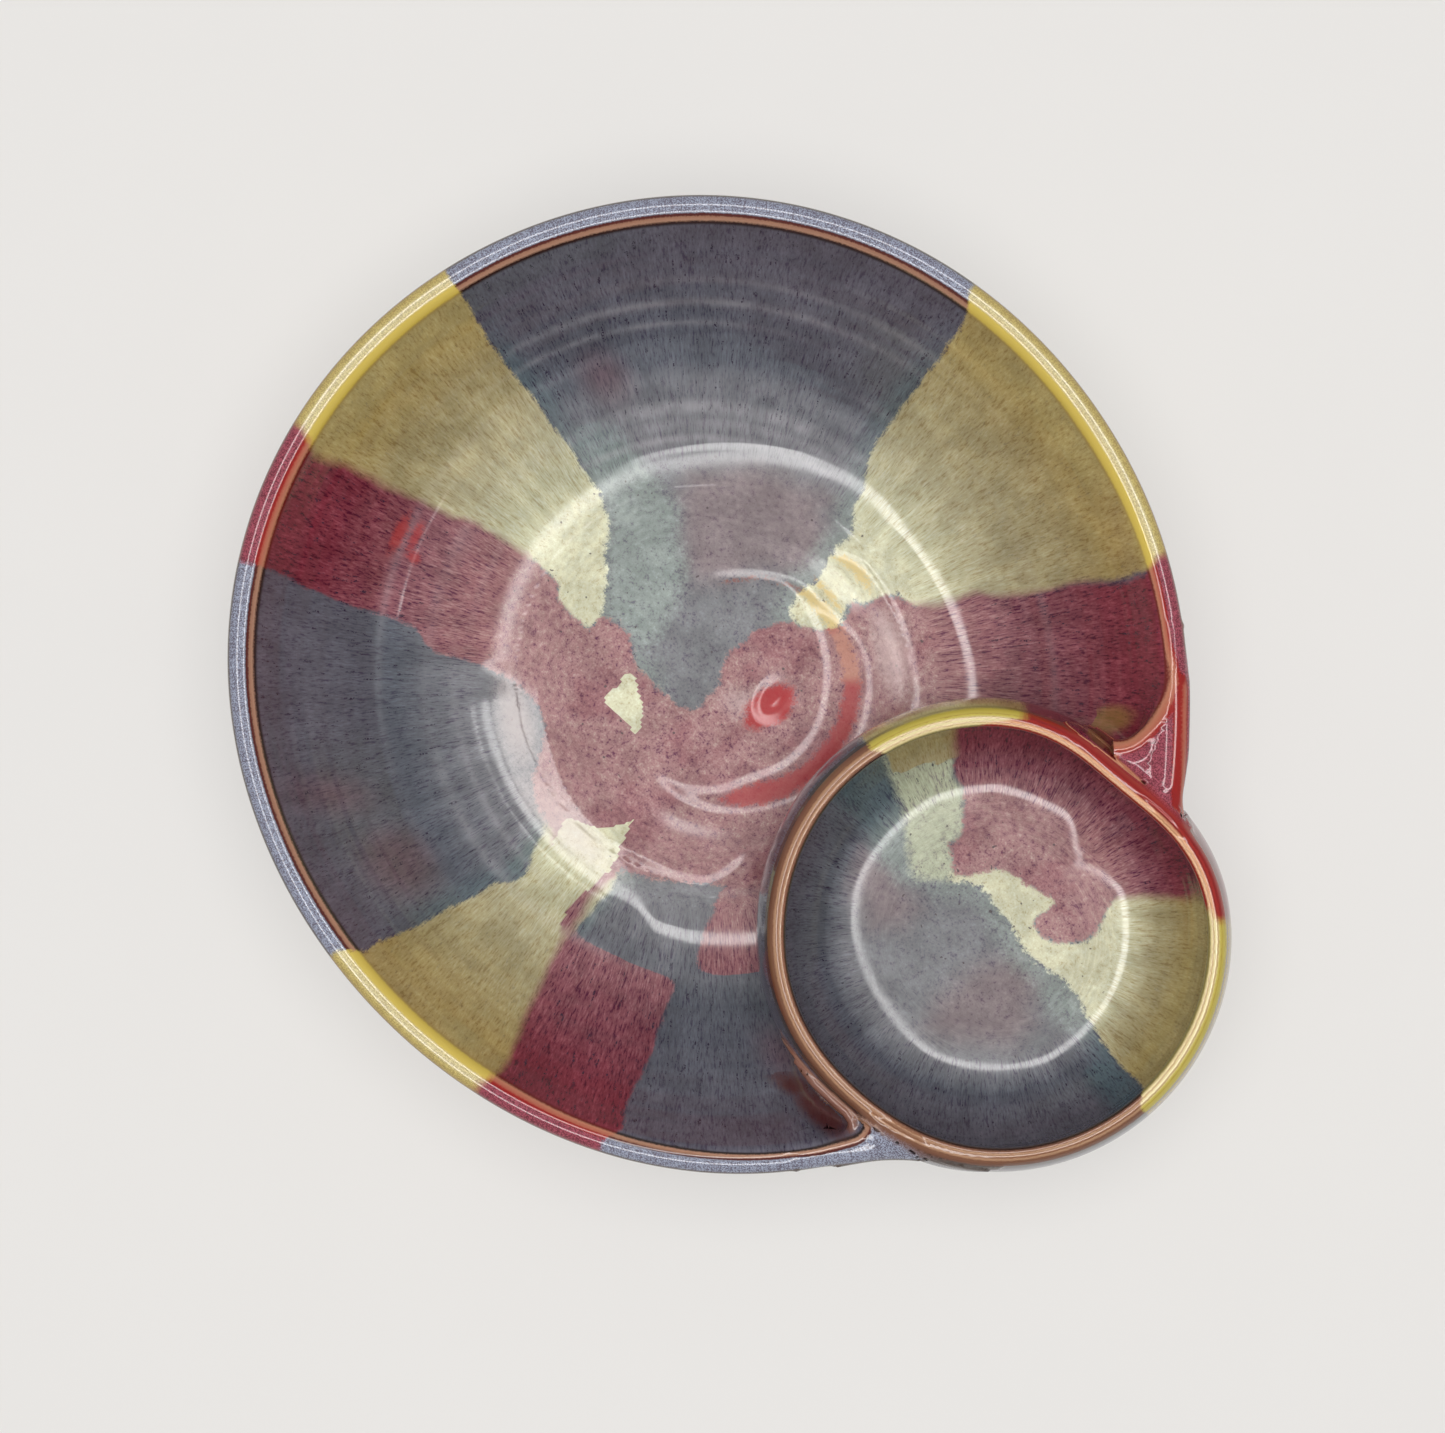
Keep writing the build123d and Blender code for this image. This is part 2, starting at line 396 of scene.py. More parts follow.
def floor_relief(points, radius, angle):
    """Height added inside the chip bowl: its uneven floor edge, the finger ridges and the middle button."""
    reach = (FLOOR_EDGE_RADIUS - around(angle, FLOOR_EDGE)) * (1 - ramp(radius, 74, 104))
    relief = bowl_profile(radius + reach) - bowl_profile(radius)
    for stops in RIDGES:
        relief += wound_ridge(radius, angle, stops, RIDGE_SLOPE, RIDGE_HALF, RIDGE_FALL)
    for stops in WALL_STEPS:
        relief += wound_ridge(radius, angle, stops, WALL_STEP_SLOPE, 1.8, 9.0)
    relief += cone_relief(radius, angle)
    x = points[:, 0] - KNOB[0]
    y = points[:, 1] - KNOB[1]
    from_knob = np.hypot(x, y / 1.35)
    facing = np.degrees(np.arctan2(y, x))
    relief += KNOB_HEIGHT * (1 - ramp(from_knob, 1.0, 8.5 + 2.5 * np.cos(np.radians(facing - 60))))
    relief -= KNOB_DENT * hill(np.hypot(x + 0.5, (y - 1.0) / 1.6), 0, 3.6)
    return relief + UNEVENNESS * noise(points, 13.0, 51)


# Half the thickness of each wall over its floor, and the heights of the throwing rings.
BOWL_HALF = 3.7
DIP_HALF = 3.0
INNER_RINGS = 0.07
OUTER_RINGS = 0.12
DIP_RINGS = 0.06


def bowl_field(points):
    """Distance from the chip bowl's wall, without its foot, and the measures that other functions reuse."""
    radius, angle = bowl_polar(points)
    side, along = BOWL_LINE.measure(radius, points[:, 2])
    past = np.maximum(along - BOWL_LINE.length, 0.0)
    half = BOWL_HALF - 0.5 * ramp(along, 45, 80) + 0.8 * ramp(along, BOWL_LINE.length - 16, BOWL_LINE.length)
    below_lip = 1 - ramp(along, BOWL_LINE.length - 12, BOWL_LINE.length - 4)
    inner = ramp(side, -1.6, 0.8)
    relief = floor_relief(points, radius, angle) * (1 - ramp(along, 96, 110))
    relief += INNER_RINGS * throwing_rings(along, angle, 0, 9.5, 1.3) * ramp(along, 76, 92) * below_lip
    outer_rings = OUTER_RINGS * throwing_rings(along, angle, 4, 12.0, 4.1) * ramp(along, 66, 80) * below_lip
    wall = np.abs(side) - half - inner * relief - (1 - inner) * outer_rings
    field = np.where(along > BOWL_LINE.length, lip_distance(side, past, LIP_HALF, LIP_CREST), wall)
    return SimpleNamespace(field=field, side=side, along=along, radius=radius, angle=angle)


def dip_field(points):
    """The same for the dip bowl, and the envelope of everything inside its outer face."""
    radius, angle = dip_polar(points)
    side, along = DIP_LINE.measure(radius, points[:, 2])
    past = np.maximum(along - DIP_LINE.length, 0.0)
    half = DIP_HALF - 0.4 * ramp(along, DIP_LINE.length - 18, DIP_LINE.length)
    below_lip = 1 - ramp(along, DIP_LINE.length - 9, DIP_LINE.length - 3)
    inner = ramp(side, -0.5, 1.2)
    reach = (DIP_FLOOR_EDGE_RADIUS - around(angle, DIP_FLOOR_EDGE)) * (1 - ramp(radius, 42, 56))
    relief = dip_profile(radius + reach) - dip_profile(radius) + UNEVENNESS * noise(points, 9.0, 52)
    relief += DIP_RINGS * throwing_rings(along, angle, 2, 7.0, 2.2) * ramp(along, 44, 54)
    wall = np.abs(side) - half - inner * relief * below_lip
    field = np.where(along > DIP_LINE.length, lip_distance(side, past, DIP_LIP_HALF, DIP_LIP_CREST), wall)
    envelope = -side - DIP_LIP_HALF
    measures = dict(side=side, along=along, radius=radius, angle=angle, envelope=envelope)
    return SimpleNamespace(field=field, **measures)


# ---------------------------------------------------------------- foot, webs and the whole pot


def foot_field(points):
    """The trimmed foot ring, its standing edge rounded."""
    radius = np.hypot(points[:, 0], points[:, 1])
    middle = (FOOT_OUTER_RADIUS + FOOT_INNER_RADIUS) / 2
    half_width = (FOOT_OUTER_RADIUS - FOOT_INNER_RADIUS) / 2
    slope = 0.12 * points[:, 2]
    across = np.abs(radius - middle) - (half_width + slope - FOOT_EDGE)
    up = np.abs(points[:, 2] - FOOT_HEIGHT / 2) - (FOOT_HEIGHT / 2 - FOOT_EDGE)
    return rounded_block(across, up, FOOT_EDGE)


def dip_foot_field(points):
    """The dip bowl's low trimmed base ring."""
    radius, _ = dip_polar(points)
    across = np.abs(radius - DIP_FOOT_RADIUS) - 2.7
    up = np.abs(points[:, 2] - (DIP_BASE_HEIGHT + 2.0)) - 1.2
    return rounded_block(across, up, 0.8)


def edge_distance(x, y, edge):
    """Distance in plan from an open line of corners."""
    best = np.full(len(x), 1e9)
    for (x0, y0), (x1, y1) in zip(edge, edge[1:]):
        dx = x1 - x0
        dy = y1 - y0
        t = np.clip(((x - x0) * dx + (y - y0) * dy) / (dx * dx + dy * dy), 0.0, 1.0)
        best = np.minimum(best, np.hypot(x - x0 - t * dx, y - y0 - t * dy))
    return best


def outline_distance(x, y, outline):
    """Signed distance in plan from a closed outline, negative inside."""
    closed = outline + outline[:1]
    inside = np.zeros(len(x), bool)
    for (x0, y0), (x1, y1) in zip(closed, closed[1:]):
        if y0 != y1:
            inside ^= ((y0 > y) != (y1 > y)) & (x < (x1 - x0) * (y - y0) / (y1 - y0) + x0)
    distance = edge_distance(x, y, closed)
    return np.where(inside, -distance, distance)


# Webs in plan: the edge over the crevice, the edge on the outside, and the corners hidden in the dip bowl.
WIDE_CREVICE = [
    (82.6, 96), (85.5, 92.8), (91.2, 86.5), (94.6, 80), (96.2, 72), (96, 66.5), (94, 62.8), (89.5, 60.2),
    (84.5, 58), (79.5, 55.2), (75, 51.5),
]
WIDE_OUTSIDE = [
    (127, 54), (122.3, 58.6), (118.6, 61.4), (113.8, 67.3), (109.1, 73), (104.4, 78.2), (100.1, 83.3),
    (95.6, 88.5), (90.9, 93.6), (87, 97.5),
]
WIDE_CORNERS = [(84, 48), (117, 50)]
NARROW_CREVICE = [
    (101, -82), (104.7, -78.1), (107.6, -73.5), (110.3, -69.5), (112.4, -66), (111.8, -63), (109.5, -60.5),
    (112, -56),
]
NARROW_OUTSIDE = [
    (147.5, -46), (144.5, -49.4), (140, -53.1), (135, -56.6), (129.7, -60.6), (125.5, -64.1),
    (121.3, -68.1), (116.2, -73.8), (111.3, -79.7), (107.5, -84),
]
NARROW_CORNERS = [(141, -43)]
# How round a web's edges are, how thick it is, how far it reaches from its middle, and how far its outside
# edge is drawn in beside the lip.
WEB_EDGE = 3.4
WEB_DEPTH = 11.0
WEB_SPAN = 29.0
WEB_INSET = 2.6


def rounded(corners):
    """An open line of corners, each corner cut twice over so that the line runs smoothly."""
    for _ in range(2):
        cut = [corners[0]]
        for (x0, y0), (x1, y1) in zip(corners, corners[1:]):
            cut.append((0.75 * x0 + 0.25 * x1, 0.75 * y0 + 0.25 * y1))
            cut.append((0.25 * x0 + 0.75 * x1, 0.25 * y0 + 0.75 * y1))
        corners = cut + [corners[-1]]
    return corners


# Each web's edges, where it is, how deep its hollow is and where the bowl's lip ends on it. Its glaze fades
# in along the axes given, and lies across its two edges as it does across a rim.
WEBS = {
    "wide_rim_web": dict(
        crevice=rounded(WIDE_CREVICE),
        outside=rounded(WIDE_OUTSIDE),
        corners=WIDE_CORNERS,
        middle=(101, 74),
        hollow=1.1,
        lip_end=(120, 126),
        fades=[(1, 94, 85), (0, 83, 89)],
        crevice_rim=([0, 0.5, 3.0, 4.2, 6], [7.3, 7.0, 5.6, 4.4, 3]),
        outside_rim=([0, 0.6, 1.2, 3.2, 4.2, 6], [6.2, 6.0, 5.3, 4.9, 4.2, 3]),
        glazes=dict(plum=12.0, straw=-12.0, teal=-12.0),
    ),
    "narrow_rim_web": dict(
        crevice=rounded(NARROW_CREVICE),
        outside=rounded(NARROW_OUTSIDE),
        corners=NARROW_CORNERS,
        middle=(119, -68),
        hollow=0.7,
        lip_end=(110, 118),
        fades=[(0, 103, 110)],
        crevice_rim=([0, 0.4, 1.8, 2.4, 3.2, 6], [7.5, 7.2, 5.9, 5.3, 4.4, 3]),
        outside_rim=([0, 0.5, 1.5, 6], [0.0, 0.4, 1.5, 3]),
        glazes=dict(plum=-12.0, straw=-12.0, teal=-12.0),
    ),
}


def web_outline(web):
    """A web's whole outline in plan."""
    return web["crevice"] + web["corners"] + web["outside"]


def web_plan(points, web, lip=False):
    """Signed distance in plan from a web's outline; far from it, just a large distance.

    With the lip, the outside edge is drawn in as far along as the chip bowl's own lip runs.
    """
    middle_x, middle_y = web["middle"]
    near = (np.abs(points[:, 0] - middle_x) < WEB_SPAN) & (np.abs(points[:, 1] - middle_y) < WEB_SPAN)
    plan = np.full(len(points), 12.0)
    x, y = points[near, 0], points[near, 1]
    plan[near] = outline_distance(x, y, web_outline(web))
    if lip:
        inset = WEB_INSET * (1 - ramp(x, *web["lip_end"])) - 0.4
        plan[near] = np.maximum(plan[near], inset - edge_distance(x, y, web["outside"]))
    return plan


def web_field(points, web, dip_side):
    """A web: a thick plate with rounded edges, hollowed between the ridges that join the two rims."""
    plan = web_plan(points, web, lip=True)
    from_dip = -dip_side - 2.2
    basin = ramp(np.minimum(-plan, from_dip + 3.2), 2.6, 8.0) * ramp(from_dip, -0.5, 3.0)
    top = RIM_HEIGHT - 0.2 - web["hollow"] * basin
    up = np.abs(points[:, 2] - (top - WEB_DEPTH / 2)) - WEB_DEPTH / 2
    return rounded_block(plan + WEB_EDGE, up + WEB_EDGE, WEB_EDGE)


# The bead of clay beside the dip bowl's rim, up to its hooked end at the narrow web.
BEAD = [
    (73, -52.5, 65), (79.5, -58.2, 67.5), (87, -62.0, 70.2), (94, -63.4, 72), (101, -63.6, 73),
    (106, -63.6, 73.5), (109, -64.3, 73.8), (110.7, -65.8, 73.6),
]
BEAD_RADIUS = 1.5


def bead_field(points):
    """Distance from the bead; far from it, just a large distance."""
    near = (np.abs(points[:, 0] - 95) < 25) & (np.abs(points[:, 1] + 63) < 14) & (points[:, 2] > 60)
    spot = points[near]
    best = np.full(len(spot), 12.0)
    for start, stop in zip(BEAD, BEAD[1:]):
        start = np.array(start)
        reach = np.array(stop) - start
        t = np.clip((spot - start) @ reach / (reach @ reach), 0.0, 1.0)[:, None]
        best = np.minimum(best, np.linalg.norm(spot - start - t * reach, axis=1) - BEAD_RADIUS)
    field = np.full(len(points), 12.0)
    field[near] = best
    return field


# How far the parts run into each other.
FOOT_BLEND = 2.5
DIP_FOOT_BLEND = 1.5
JOINT_BLEND = 5.6
WEB_BLEND = 3.2
BEAD_BLEND = 1.6


def pot_field(points):
    """Distance from the surface of the whole pot."""
    dip_wall = dip_field(points)
    bowl = smooth_min(bowl_field(points).field, foot_field(points), FOOT_BLEND)
    bowl = np.maximum(bowl, dip_wall.side)
    dip = smooth_min(dip_wall.field, dip_foot_field(points), DIP_FOOT_BLEND)
    outside_dip = ramp(-dip_wall.side, -1.0, 2.0)
    pot = smooth_min(bowl, dip, 0.4 + JOINT_BLEND * outside_dip)
    for web in WEBS.values():
        plate = np.maximum(web_field(points, web, dip_wall.side), dip_wall.side)
        pot = smooth_min(pot, plate, 0.3 + WEB_BLEND * outside_dip)
    return smooth_min(pot, bead_field(points), BEAD_BLEND)


# ---------------------------------------------------------------- regions that the pieces are cut from

# How far the cuts lie outside the dip bowl's face, on its side and on the far side of the seams, and how deep
# the webs go.
SKIN = 1.2
SEAM_EDGE = 6.5
WEB_FLOOR = 64.0
# Each web's piece is cut out by a strip along it: the strip's two ends in plan, and its half width.
WEB_REGIONS = {
    "wide_rim_web": ((93, 85), (114, 62), 16.0),
    "narrow_rim_web": ((108, -80), (134, -57), 8.5),
}


def region_fields(points):
    """For each piece, a field that is negative in the part of space that belongs to it."""
    envelope = dip_field(points).envelope
    bowl_side = bowl_field(points).side
    in_dip = envelope - SKIN
    webs = {}
    for name, (start, stop, reach) in WEB_REGIONS.items():
        plan = edge_distance(points[:, 0], points[:, 1], [start, stop]) - reach
        webs[name] = np.maximum(plan, WEB_FLOOR - points[:, 2])
    all_webs = np.minimum(webs["wide_rim_web"], webs["narrow_rim_web"])
    collar = np.maximum(np.maximum(-in_dip, envelope - SEAM_EDGE), -all_webs)
    regions = {name: np.maximum(web, -in_dip) for name, web in webs.items()}
    regions["dip_bowl"] = in_dip
    regions["inner_seam"] = np.maximum(collar, -bowl_side)
    regions["outer_seam"] = np.maximum(collar, bowl_side)
    regions["chip_bowl"] = np.maximum(SEAM_EDGE - envelope, -all_webs)
    return regions


# ---------------------------------------------------------------- meshing


def in_chunks(function, points, chunk=400000):
    """Calls a field on many points without holding every step in memory at once."""
    return np.concatenate([function(points[i : i + chunk]) for i in range(0, len(points), chunk)])


def gradient(function, points, step=0.05):
    """Direction in which a field grows fastest."""
    result = np.empty_like(points)
    for axis in range(3):
        offset = np.zeros(3)
        offset[axis] = step
        result[:, axis] = function(points + offset) - function(points - offset)
    return result / (2 * step)


def pull_onto(function, points, limit):
    """One Newton step of each point towards the field's zero."""
    value = function(points)
    slope = gradient(function, points)
    size = np.maximum((slope * slope).sum(axis=1), 0.05)
    move = -(value / size)[:, None] * slope
    length = np.linalg.norm(move, axis=1)
    move *= np.minimum(1.0, limit / np.maximum(length, 1e-9))[:, None]
    return points + move


class Lattice:
    """A lattice over the pot, with the field worked out only in the blocks near its surface."""

    def __init__(self, low, high, cell):
        self.cell = cell
        self.low = np.array(low, float)
        blocks = np.ceil((np.array(high) - self.low) / (cell * BLOCK)).astype(int)
        self.shape = blocks * BLOCK + 1
        index = np.indices(blocks).reshape(3, -1).T
        centres = self.low + (index + 0.5) * BLOCK * cell
        near = np.abs(in_chunks(pot_field, centres)) < BLOCK * cell * 0.5 * math.sqrt(3) + 2.0
        wanted = np.zeros(self.shape, bool)
        for bx, by, bz in index[near] * BLOCK:
            wanted[bx : bx + BLOCK + 1, by : by + BLOCK + 1, bz : bz + BLOCK + 1] = True
        spots = np.argwhere(wanted)
        self.points = self.low + spots * cell
        self.flat = np.ravel_multi_index(spots.T, self.shape)

    def spread(self, values, fill=9.0):
        """Values at the lattice's points as a full array."""
        dense = np.full(np.prod(self.shape), fill, np.float32)
        dense[self.flat] = values
        return dense.reshape(self.shape)


CORNERS = [(x, y, z) for x in (0, 1) for y in (0, 1) for z in (0, 1)]


def corner_view(dense, corner):
    """The array of one corner of every cell."""
    spans = tuple(slice(c, n - 1 + c) for c, n in zip(corner, dense.shape))
    return dense[spans]


def crossing_cells(dense):
    """True for each cell whose corners are on both sides of zero."""
    inside = dense < 0
    count = np.zeros(tuple(n - 1 for n in dense.shape), np.uint8)
    for corner in CORNERS:
        count += corner_view(inside, corner)
    return (count > 0) & (count < 8)


def surface_net(lattice, dense):
    """Vertices and quads of the surface where dense is zero."""
    cells = crossing_cells(dense)
    index = np.argwhere(cells)
    number = np.full(cells.shape, -1, np.int64)
    number[cells] = np.arange(len(index))
    total = np.zeros((len(index), 3))
    count = np.zeros(len(index))
    for start in CORNERS:
        for axis in range(3):
            if start[axis]:
                continue
            stop = list(start)
            stop[axis] = 1
            a = dense[tuple((index + start).T)]
            b = dense[tuple((index + stop).T)]
            crosses = (a < 0) != (b < 0)
            t = np.where(crosses, a / np.where(crosses, a - b, 1.0), 0.0)
            place = np.tile(np.array(start, float), (len(index), 1))
            place[:, axis] = t
            total += place * crosses[:, None]
            count += crosses
    vertices = lattice.low + (index + total / count[:, None]) * lattice.cell
    quads = []
    for axis in range(3):
        u, v = (axis + 1) % 3, (axis + 2) % 3
        spans_a = [slice(1, n - 1) for n in dense.shape]
        spans_b = [slice(1, n - 1) for n in dense.shape]
        spans_a[axis] = slice(0, dense.shape[axis] - 1)
        spans_b[axis] = slice(1, dense.shape[axis])
        a = dense[tuple(spans_a)] < 0
        b = dense[tuple(spans_b)] < 0
        for rising in (True, False):
            edges = np.argwhere(a & ~b if rising else ~a & b)
            origin = edges + [0 if k == axis else 1 for k in range(3)]
            ring = []
            for du, dv in ((-1, -1), (0, -1), (0, 0), (-1, 0)):
                cell = origin.copy()
                cell[:, u] += du
                cell[:, v] += dv
                ring.append(number[tuple(cell.T)])
            quad = np.stack(ring, axis=1)
            quads.append(quad if rising else quad[:, ::-1])
    return vertices, np.concatenate(quads)


def settle(vertices, region, cell):
    """Moves vertices onto the pot's surface, onto the cut, or onto the edge where both meet."""
    start = vertices.copy()
    near_cut = np.abs(in_chunks(region, vertices)) < cell * 0.75
    near_pot = np.abs(in_chunks(pot_field, vertices)) < cell * 0.75
    for _ in range(3):
        on_pot = near_pot | ~near_cut
        vertices[on_pot] = pull_onto(pot_field, vertices[on_pot], cell * 0.5)
        vertices[near_cut] = pull_onto(region, vertices[near_cut], cell * 0.5)
    drift = vertices - start
    length = np.linalg.norm(drift, axis=1)
    vertices[:] = start + drift * np.minimum(1.0, cell * 1.1 / np.maximum(length, 1e-9))[:, None]
    return vertices


def make_normals(vertices, quads):
    """Corner normals: the pot's own slope on its surface, and none given (0, 0, 0) on the hidden cuts."""
    slope = in_chunks(lambda points: gradient(pot_field, points, 0.25), vertices)
    slope /= np.maximum(np.linalg.norm(slope, axis=1), 1e-9)[:, None]
    corners = vertices[quads]
    facing = np.cross(corners[:, 2] - corners[:, 0], corners[:, 3] - corners[:, 1])
    facing /= np.maximum(np.linalg.norm(facing, axis=1), 1e-9)[:, None]
    agrees = (slope[quads].mean(axis=1) * facing).sum(axis=1) > 0.6
    shown = agrees & (np.abs(in_chunks(pot_field, corners.mean(axis=1))) < 0.3)
    return np.where(shown[:, None, None], slope[quads], 0.0)


# ---------------------------------------------------------------- where each glaze lies


def polar_outlines(*outlines):
    """Outlines in plan, each from stops of (angle, radius)."""
    turns = [[(math.radians(angle), radius) for angle, radius in stops] for stops in outlines]
    return [[(radius * math.cos(turn), radius * math.sin(turn)) for turn, radius in stops] for stops in turns]


# Runs of glaze down a wall, from one side to the other. Each side is its angle on the rim, just inside the
# rim, and at the foot of the wall.
BOWL_RUNS = dict(
    straw=[
        ((57.5, 57.5, 61.8), (98.5, 97.0, 98.8)),
        ((165.0, 165.0, 163.8), (189.5, 191.5, 187.8)),
        ((257.5, 259.5, 266.8), (281.0, 283.0, 279.5)),
    ],
    plum=[
        ((-10, -10, -10), (57.5, 55.5, 61.8)),
        ((189.5, 191.5, 187.8), (207.5, 207.5, 213.8)),
        ((281.0, 283.0, 279.5), (298.0, 300.0, 307.8)),
    ],
)
DIP_RUNS = dict(
    straw=[((-8, -3.5, -3), (46, 51, 54)), ((125, 142, 143), (166, 162, 165))],
    plum=[((46, 51, 54), (125, 142, 143))],
    green=[((125, 142, 143), (166, 163, 166))],
    teal=[((166, 162, 163), (171, 181, 183)), ((-14, -14, -20), (-8, -3.5, -3))],
)

# Outlines of the glazes over the chip bowl's floor and lower wall, as (angle, radius).
FLOOR_STRAW = polar_outlines(
    [
        (62, 92), (61, 76), (62, 68), (64, 62), (68, 59.5), (69, 55), (69.5, 50), (73, 47.5), (73, 44),
        (68, 41.5), (67, 38), (69, 34), (75, 30.5), (80, 29), (86, 31.5), (88.5, 35), (89, 39), (87, 42),
        (88, 46), (90, 50), (90, 54), (89, 58), (91, 62), (93.5, 66), (95, 72), (97, 78), (98.8, 92),
    ],
    [
        (163.8, 92), (163, 76), (163, 62), (165, 56), (170, 50), (175, 45), (181, 42), (187, 39),
        (191, 37.5), (195, 38.5), (198, 41), (196, 46), (194, 51), (189, 53.5), (188, 58), (187, 66),
        (186, 76), (187.5, 92),
    ],
    [
        (207, 24), (213, 28), (220, 29.5), (226, 35), (235, 33.5), (245, 31), (255, 29), (261.5, 27),
        (258, 24), (252, 21), (240, 19.5), (225, 20), (212, 21),
    ],
    [
        (266.8, 92), (267, 76), (265, 66), (262, 60), (262, 56), (268, 53), (274, 50), (278, 45), (283, 40),
        (285, 42), (284, 50), (285, 58), (283, 66), (280, 78), (279.5, 92),
    ],
)
FLOOR_PLUM = polar_outlines(
    [
        (187.5, 92), (187, 66), (188.5, 54), (193, 51), (196.5, 45), (198, 40), (190, 37.5), (189, 33),
        (192, 29), (197, 25.5), (207, 23), (214, 19.7), (250.7, 12.4), (281, 7.8), (60, 1.4), (106, 10.5),
        (93.3, 20.9), (82, 29), (77, 29.5), (72, 32.5), (69, 35), (66, 40), (70, 43.5), (73, 46), (69, 49),
        (69, 56), (66, 59.5), (63, 64), (61.5, 70), (61.8, 92), (40, 92), (20, 92), (0, 92), (-20, 92),
        (-40, 92), (-52.2, 92), (-51, 72), (-48, 64), (-45, 58), (-60, 58), (-75, 60), (-78, 70), (-79, 92),
        (-83, 92), (-88, 70), (-96, 63), (-103, 62), (-110, 59), (-118, 53), (-125, 50.5), (-132, 51.5),
        (-138, 56), (-141, 61), (-144, 72), (-146.2, 92),
    ],
)
FLOOR_TEAL = polar_outlines(
    [
        (157, 92), (152, 76), (148, 62), (143, 52), (146, 44), (146, 36), (150, 30), (158, 26), (170, 23),
        (185, 22), (197, 24), (192, 29), (189, 33), (188, 38), (181, 42), (175, 45), (170, 50), (165, 56),
        (163, 62), (163.8, 92),
    ],
    [(252, 58), (253, 48), (257, 40), (260, 41), (259, 48), (261, 55), (266, 50), (267, 54), (262, 60)],
    [(259, 92), (262, 76), (261, 64), (266, 66), (267, 78), (266.8, 92)],
)
FLOOR_MAUVE = polar_outlines(
    [
        (98, 64), (100, 60), (92, 52), (90, 46), (93, 40), (104, 37.5), (112, 35), (120, 31), (130, 29.5),
        (140, 30), (146, 36), (143, 46), (142, 56), (138, 62), (120, 65),
    ],
)

# The same inside the dip bowl, about its own axis.
DIP_STRAW = polar_outlines(
    [
        (30, 62), (5, 60), (357, 52), (358, 44), (0, 38), (5, 33), (9, 28), (8, 22), (7, 18), (10, 13),
        (20, 10.5), (30, 8.5), (40, 7.5), (60, 6.5), (80, 6), (100, 6.5), (115, 8), (125, 9.5), (140, 12.5),
        (158, 14.5), (172, 18), (165, 19), (152, 16), (145, 17), (132, 17.5), (115, 18), (100, 18),
        (88, 18), (80, 18), (74, 19.5), (68, 21.5), (64, 22), (60, 21), (57, 18), (57, 16), (52, 14.5),
        (46, 14), (38, 14.8), (33, 16.5), (30.5, 19), (31.5, 23), (33, 27), (36, 29.5), (41, 32), (48, 34),
        (53, 36.5), (55, 40), (54, 44), (53, 52), (50, 60),
    ],
)
DIP_PLUM = polar_outlines(
    [
        (120, 66), (98, 62), (75, 66), (53, 56), (53, 52), (54, 44), (54.5, 38), (52, 35.5), (47, 33.5),
        (40, 31.5), (35, 28.5), (32, 25), (30.5, 19.5), (33, 16.5), (38, 14.8), (46, 14), (53, 15),
        (57, 16.5), (58, 19), (62, 21), (65, 21), (70, 19.5), (76, 18), (83, 17.5), (92, 16.8), (100, 17.3),
        (112, 17.3), (122, 17.2), (132, 16.5), (145, 16), (152, 15.2), (160, 17), (164, 17.8), (160, 20.5),
        (157, 24), (155, 26.5), (150, 26), (147, 27.5), (144, 32), (142, 37), (141, 41), (144, 46),
        (143, 56),
    ],
)
DIP_GREEN = polar_outlines(
    [
        (143, 62), (143, 52), (147, 46), (141, 40), (142, 35), (145, 29), (147, 26.5), (155, 27), (157, 23),
        (162, 18.5), (167, 17), (176, 19.5), (186, 25), (184, 28), (176, 32), (170, 37), (166, 42),
        (166, 62),
    ],
)
DIP_TEAL = polar_outlines(
    [
        (162, 52), (162, 50), (164, 42), (168, 37), (176, 31), (186, 22), (192, 28), (188, 38), (183, 44),
        (182, 52),
    ],
    [(352, 38), (350, 30), (354, 24), (2, 24), (7, 30), (3, 36)],
)
DIP_MAUVE = polar_outlines(
    [
        (280, 33), (290, 33.5), (310, 33), (325, 34), (338, 30), (345, 24), (358, 20), (359, 12), (330, 10),
        (300, 11), (285, 17), (278, 25),
    ],
    [(190, 42), (205, 40), (222, 33), (220, 24), (205, 20), (195, 26), (188, 32)],
)

# Small marks in the glaze, and pale patches of painted highlight: (x, y, half length, half width, turn in
# degrees).
MARKS = dict(
    rust=[(-95.5, -27.5, 1.6, 5.5, 15), (-91.5, -25.5, 1.1, 4, 15), (-88, -30, 2, 1.6, 0)],
    blush=[(-81.5, 44.5, 9, 7, 0), (-33, -97, 12, 9, 0), (84.6, -65.1, 9, 6, 0), (-60, -95, 12, 6, 30)],
    dark=[(101.5, -68.5, 8.5, 3.8, 5), (92, -69, 6, 2.5, 20)],
    gold=[(89.5, 66.5, 5.5, 3.5, 60), (80.5, 62.5, 3, 2, 60)],
    # Painted highlight: pale glare beside the middle button and over the floor's evenly sloping stretches.
    pale=[
        (10, 1.6, 6.5, 3.8, 25), (32, 41, 12, 5.5, 142), (-5.1, -58.5, 17, 5, 355),
        (-36, -45.5, 13, 4.5, 142),
    ],
)
# The heights between which each kind of mark shows, in the chip bowl only.
MARK_HEIGHTS = dict(rust=(12, 99), blush=(20, 99), dark=(45, 99), gold=(45, 99), pale=(-99, 40))
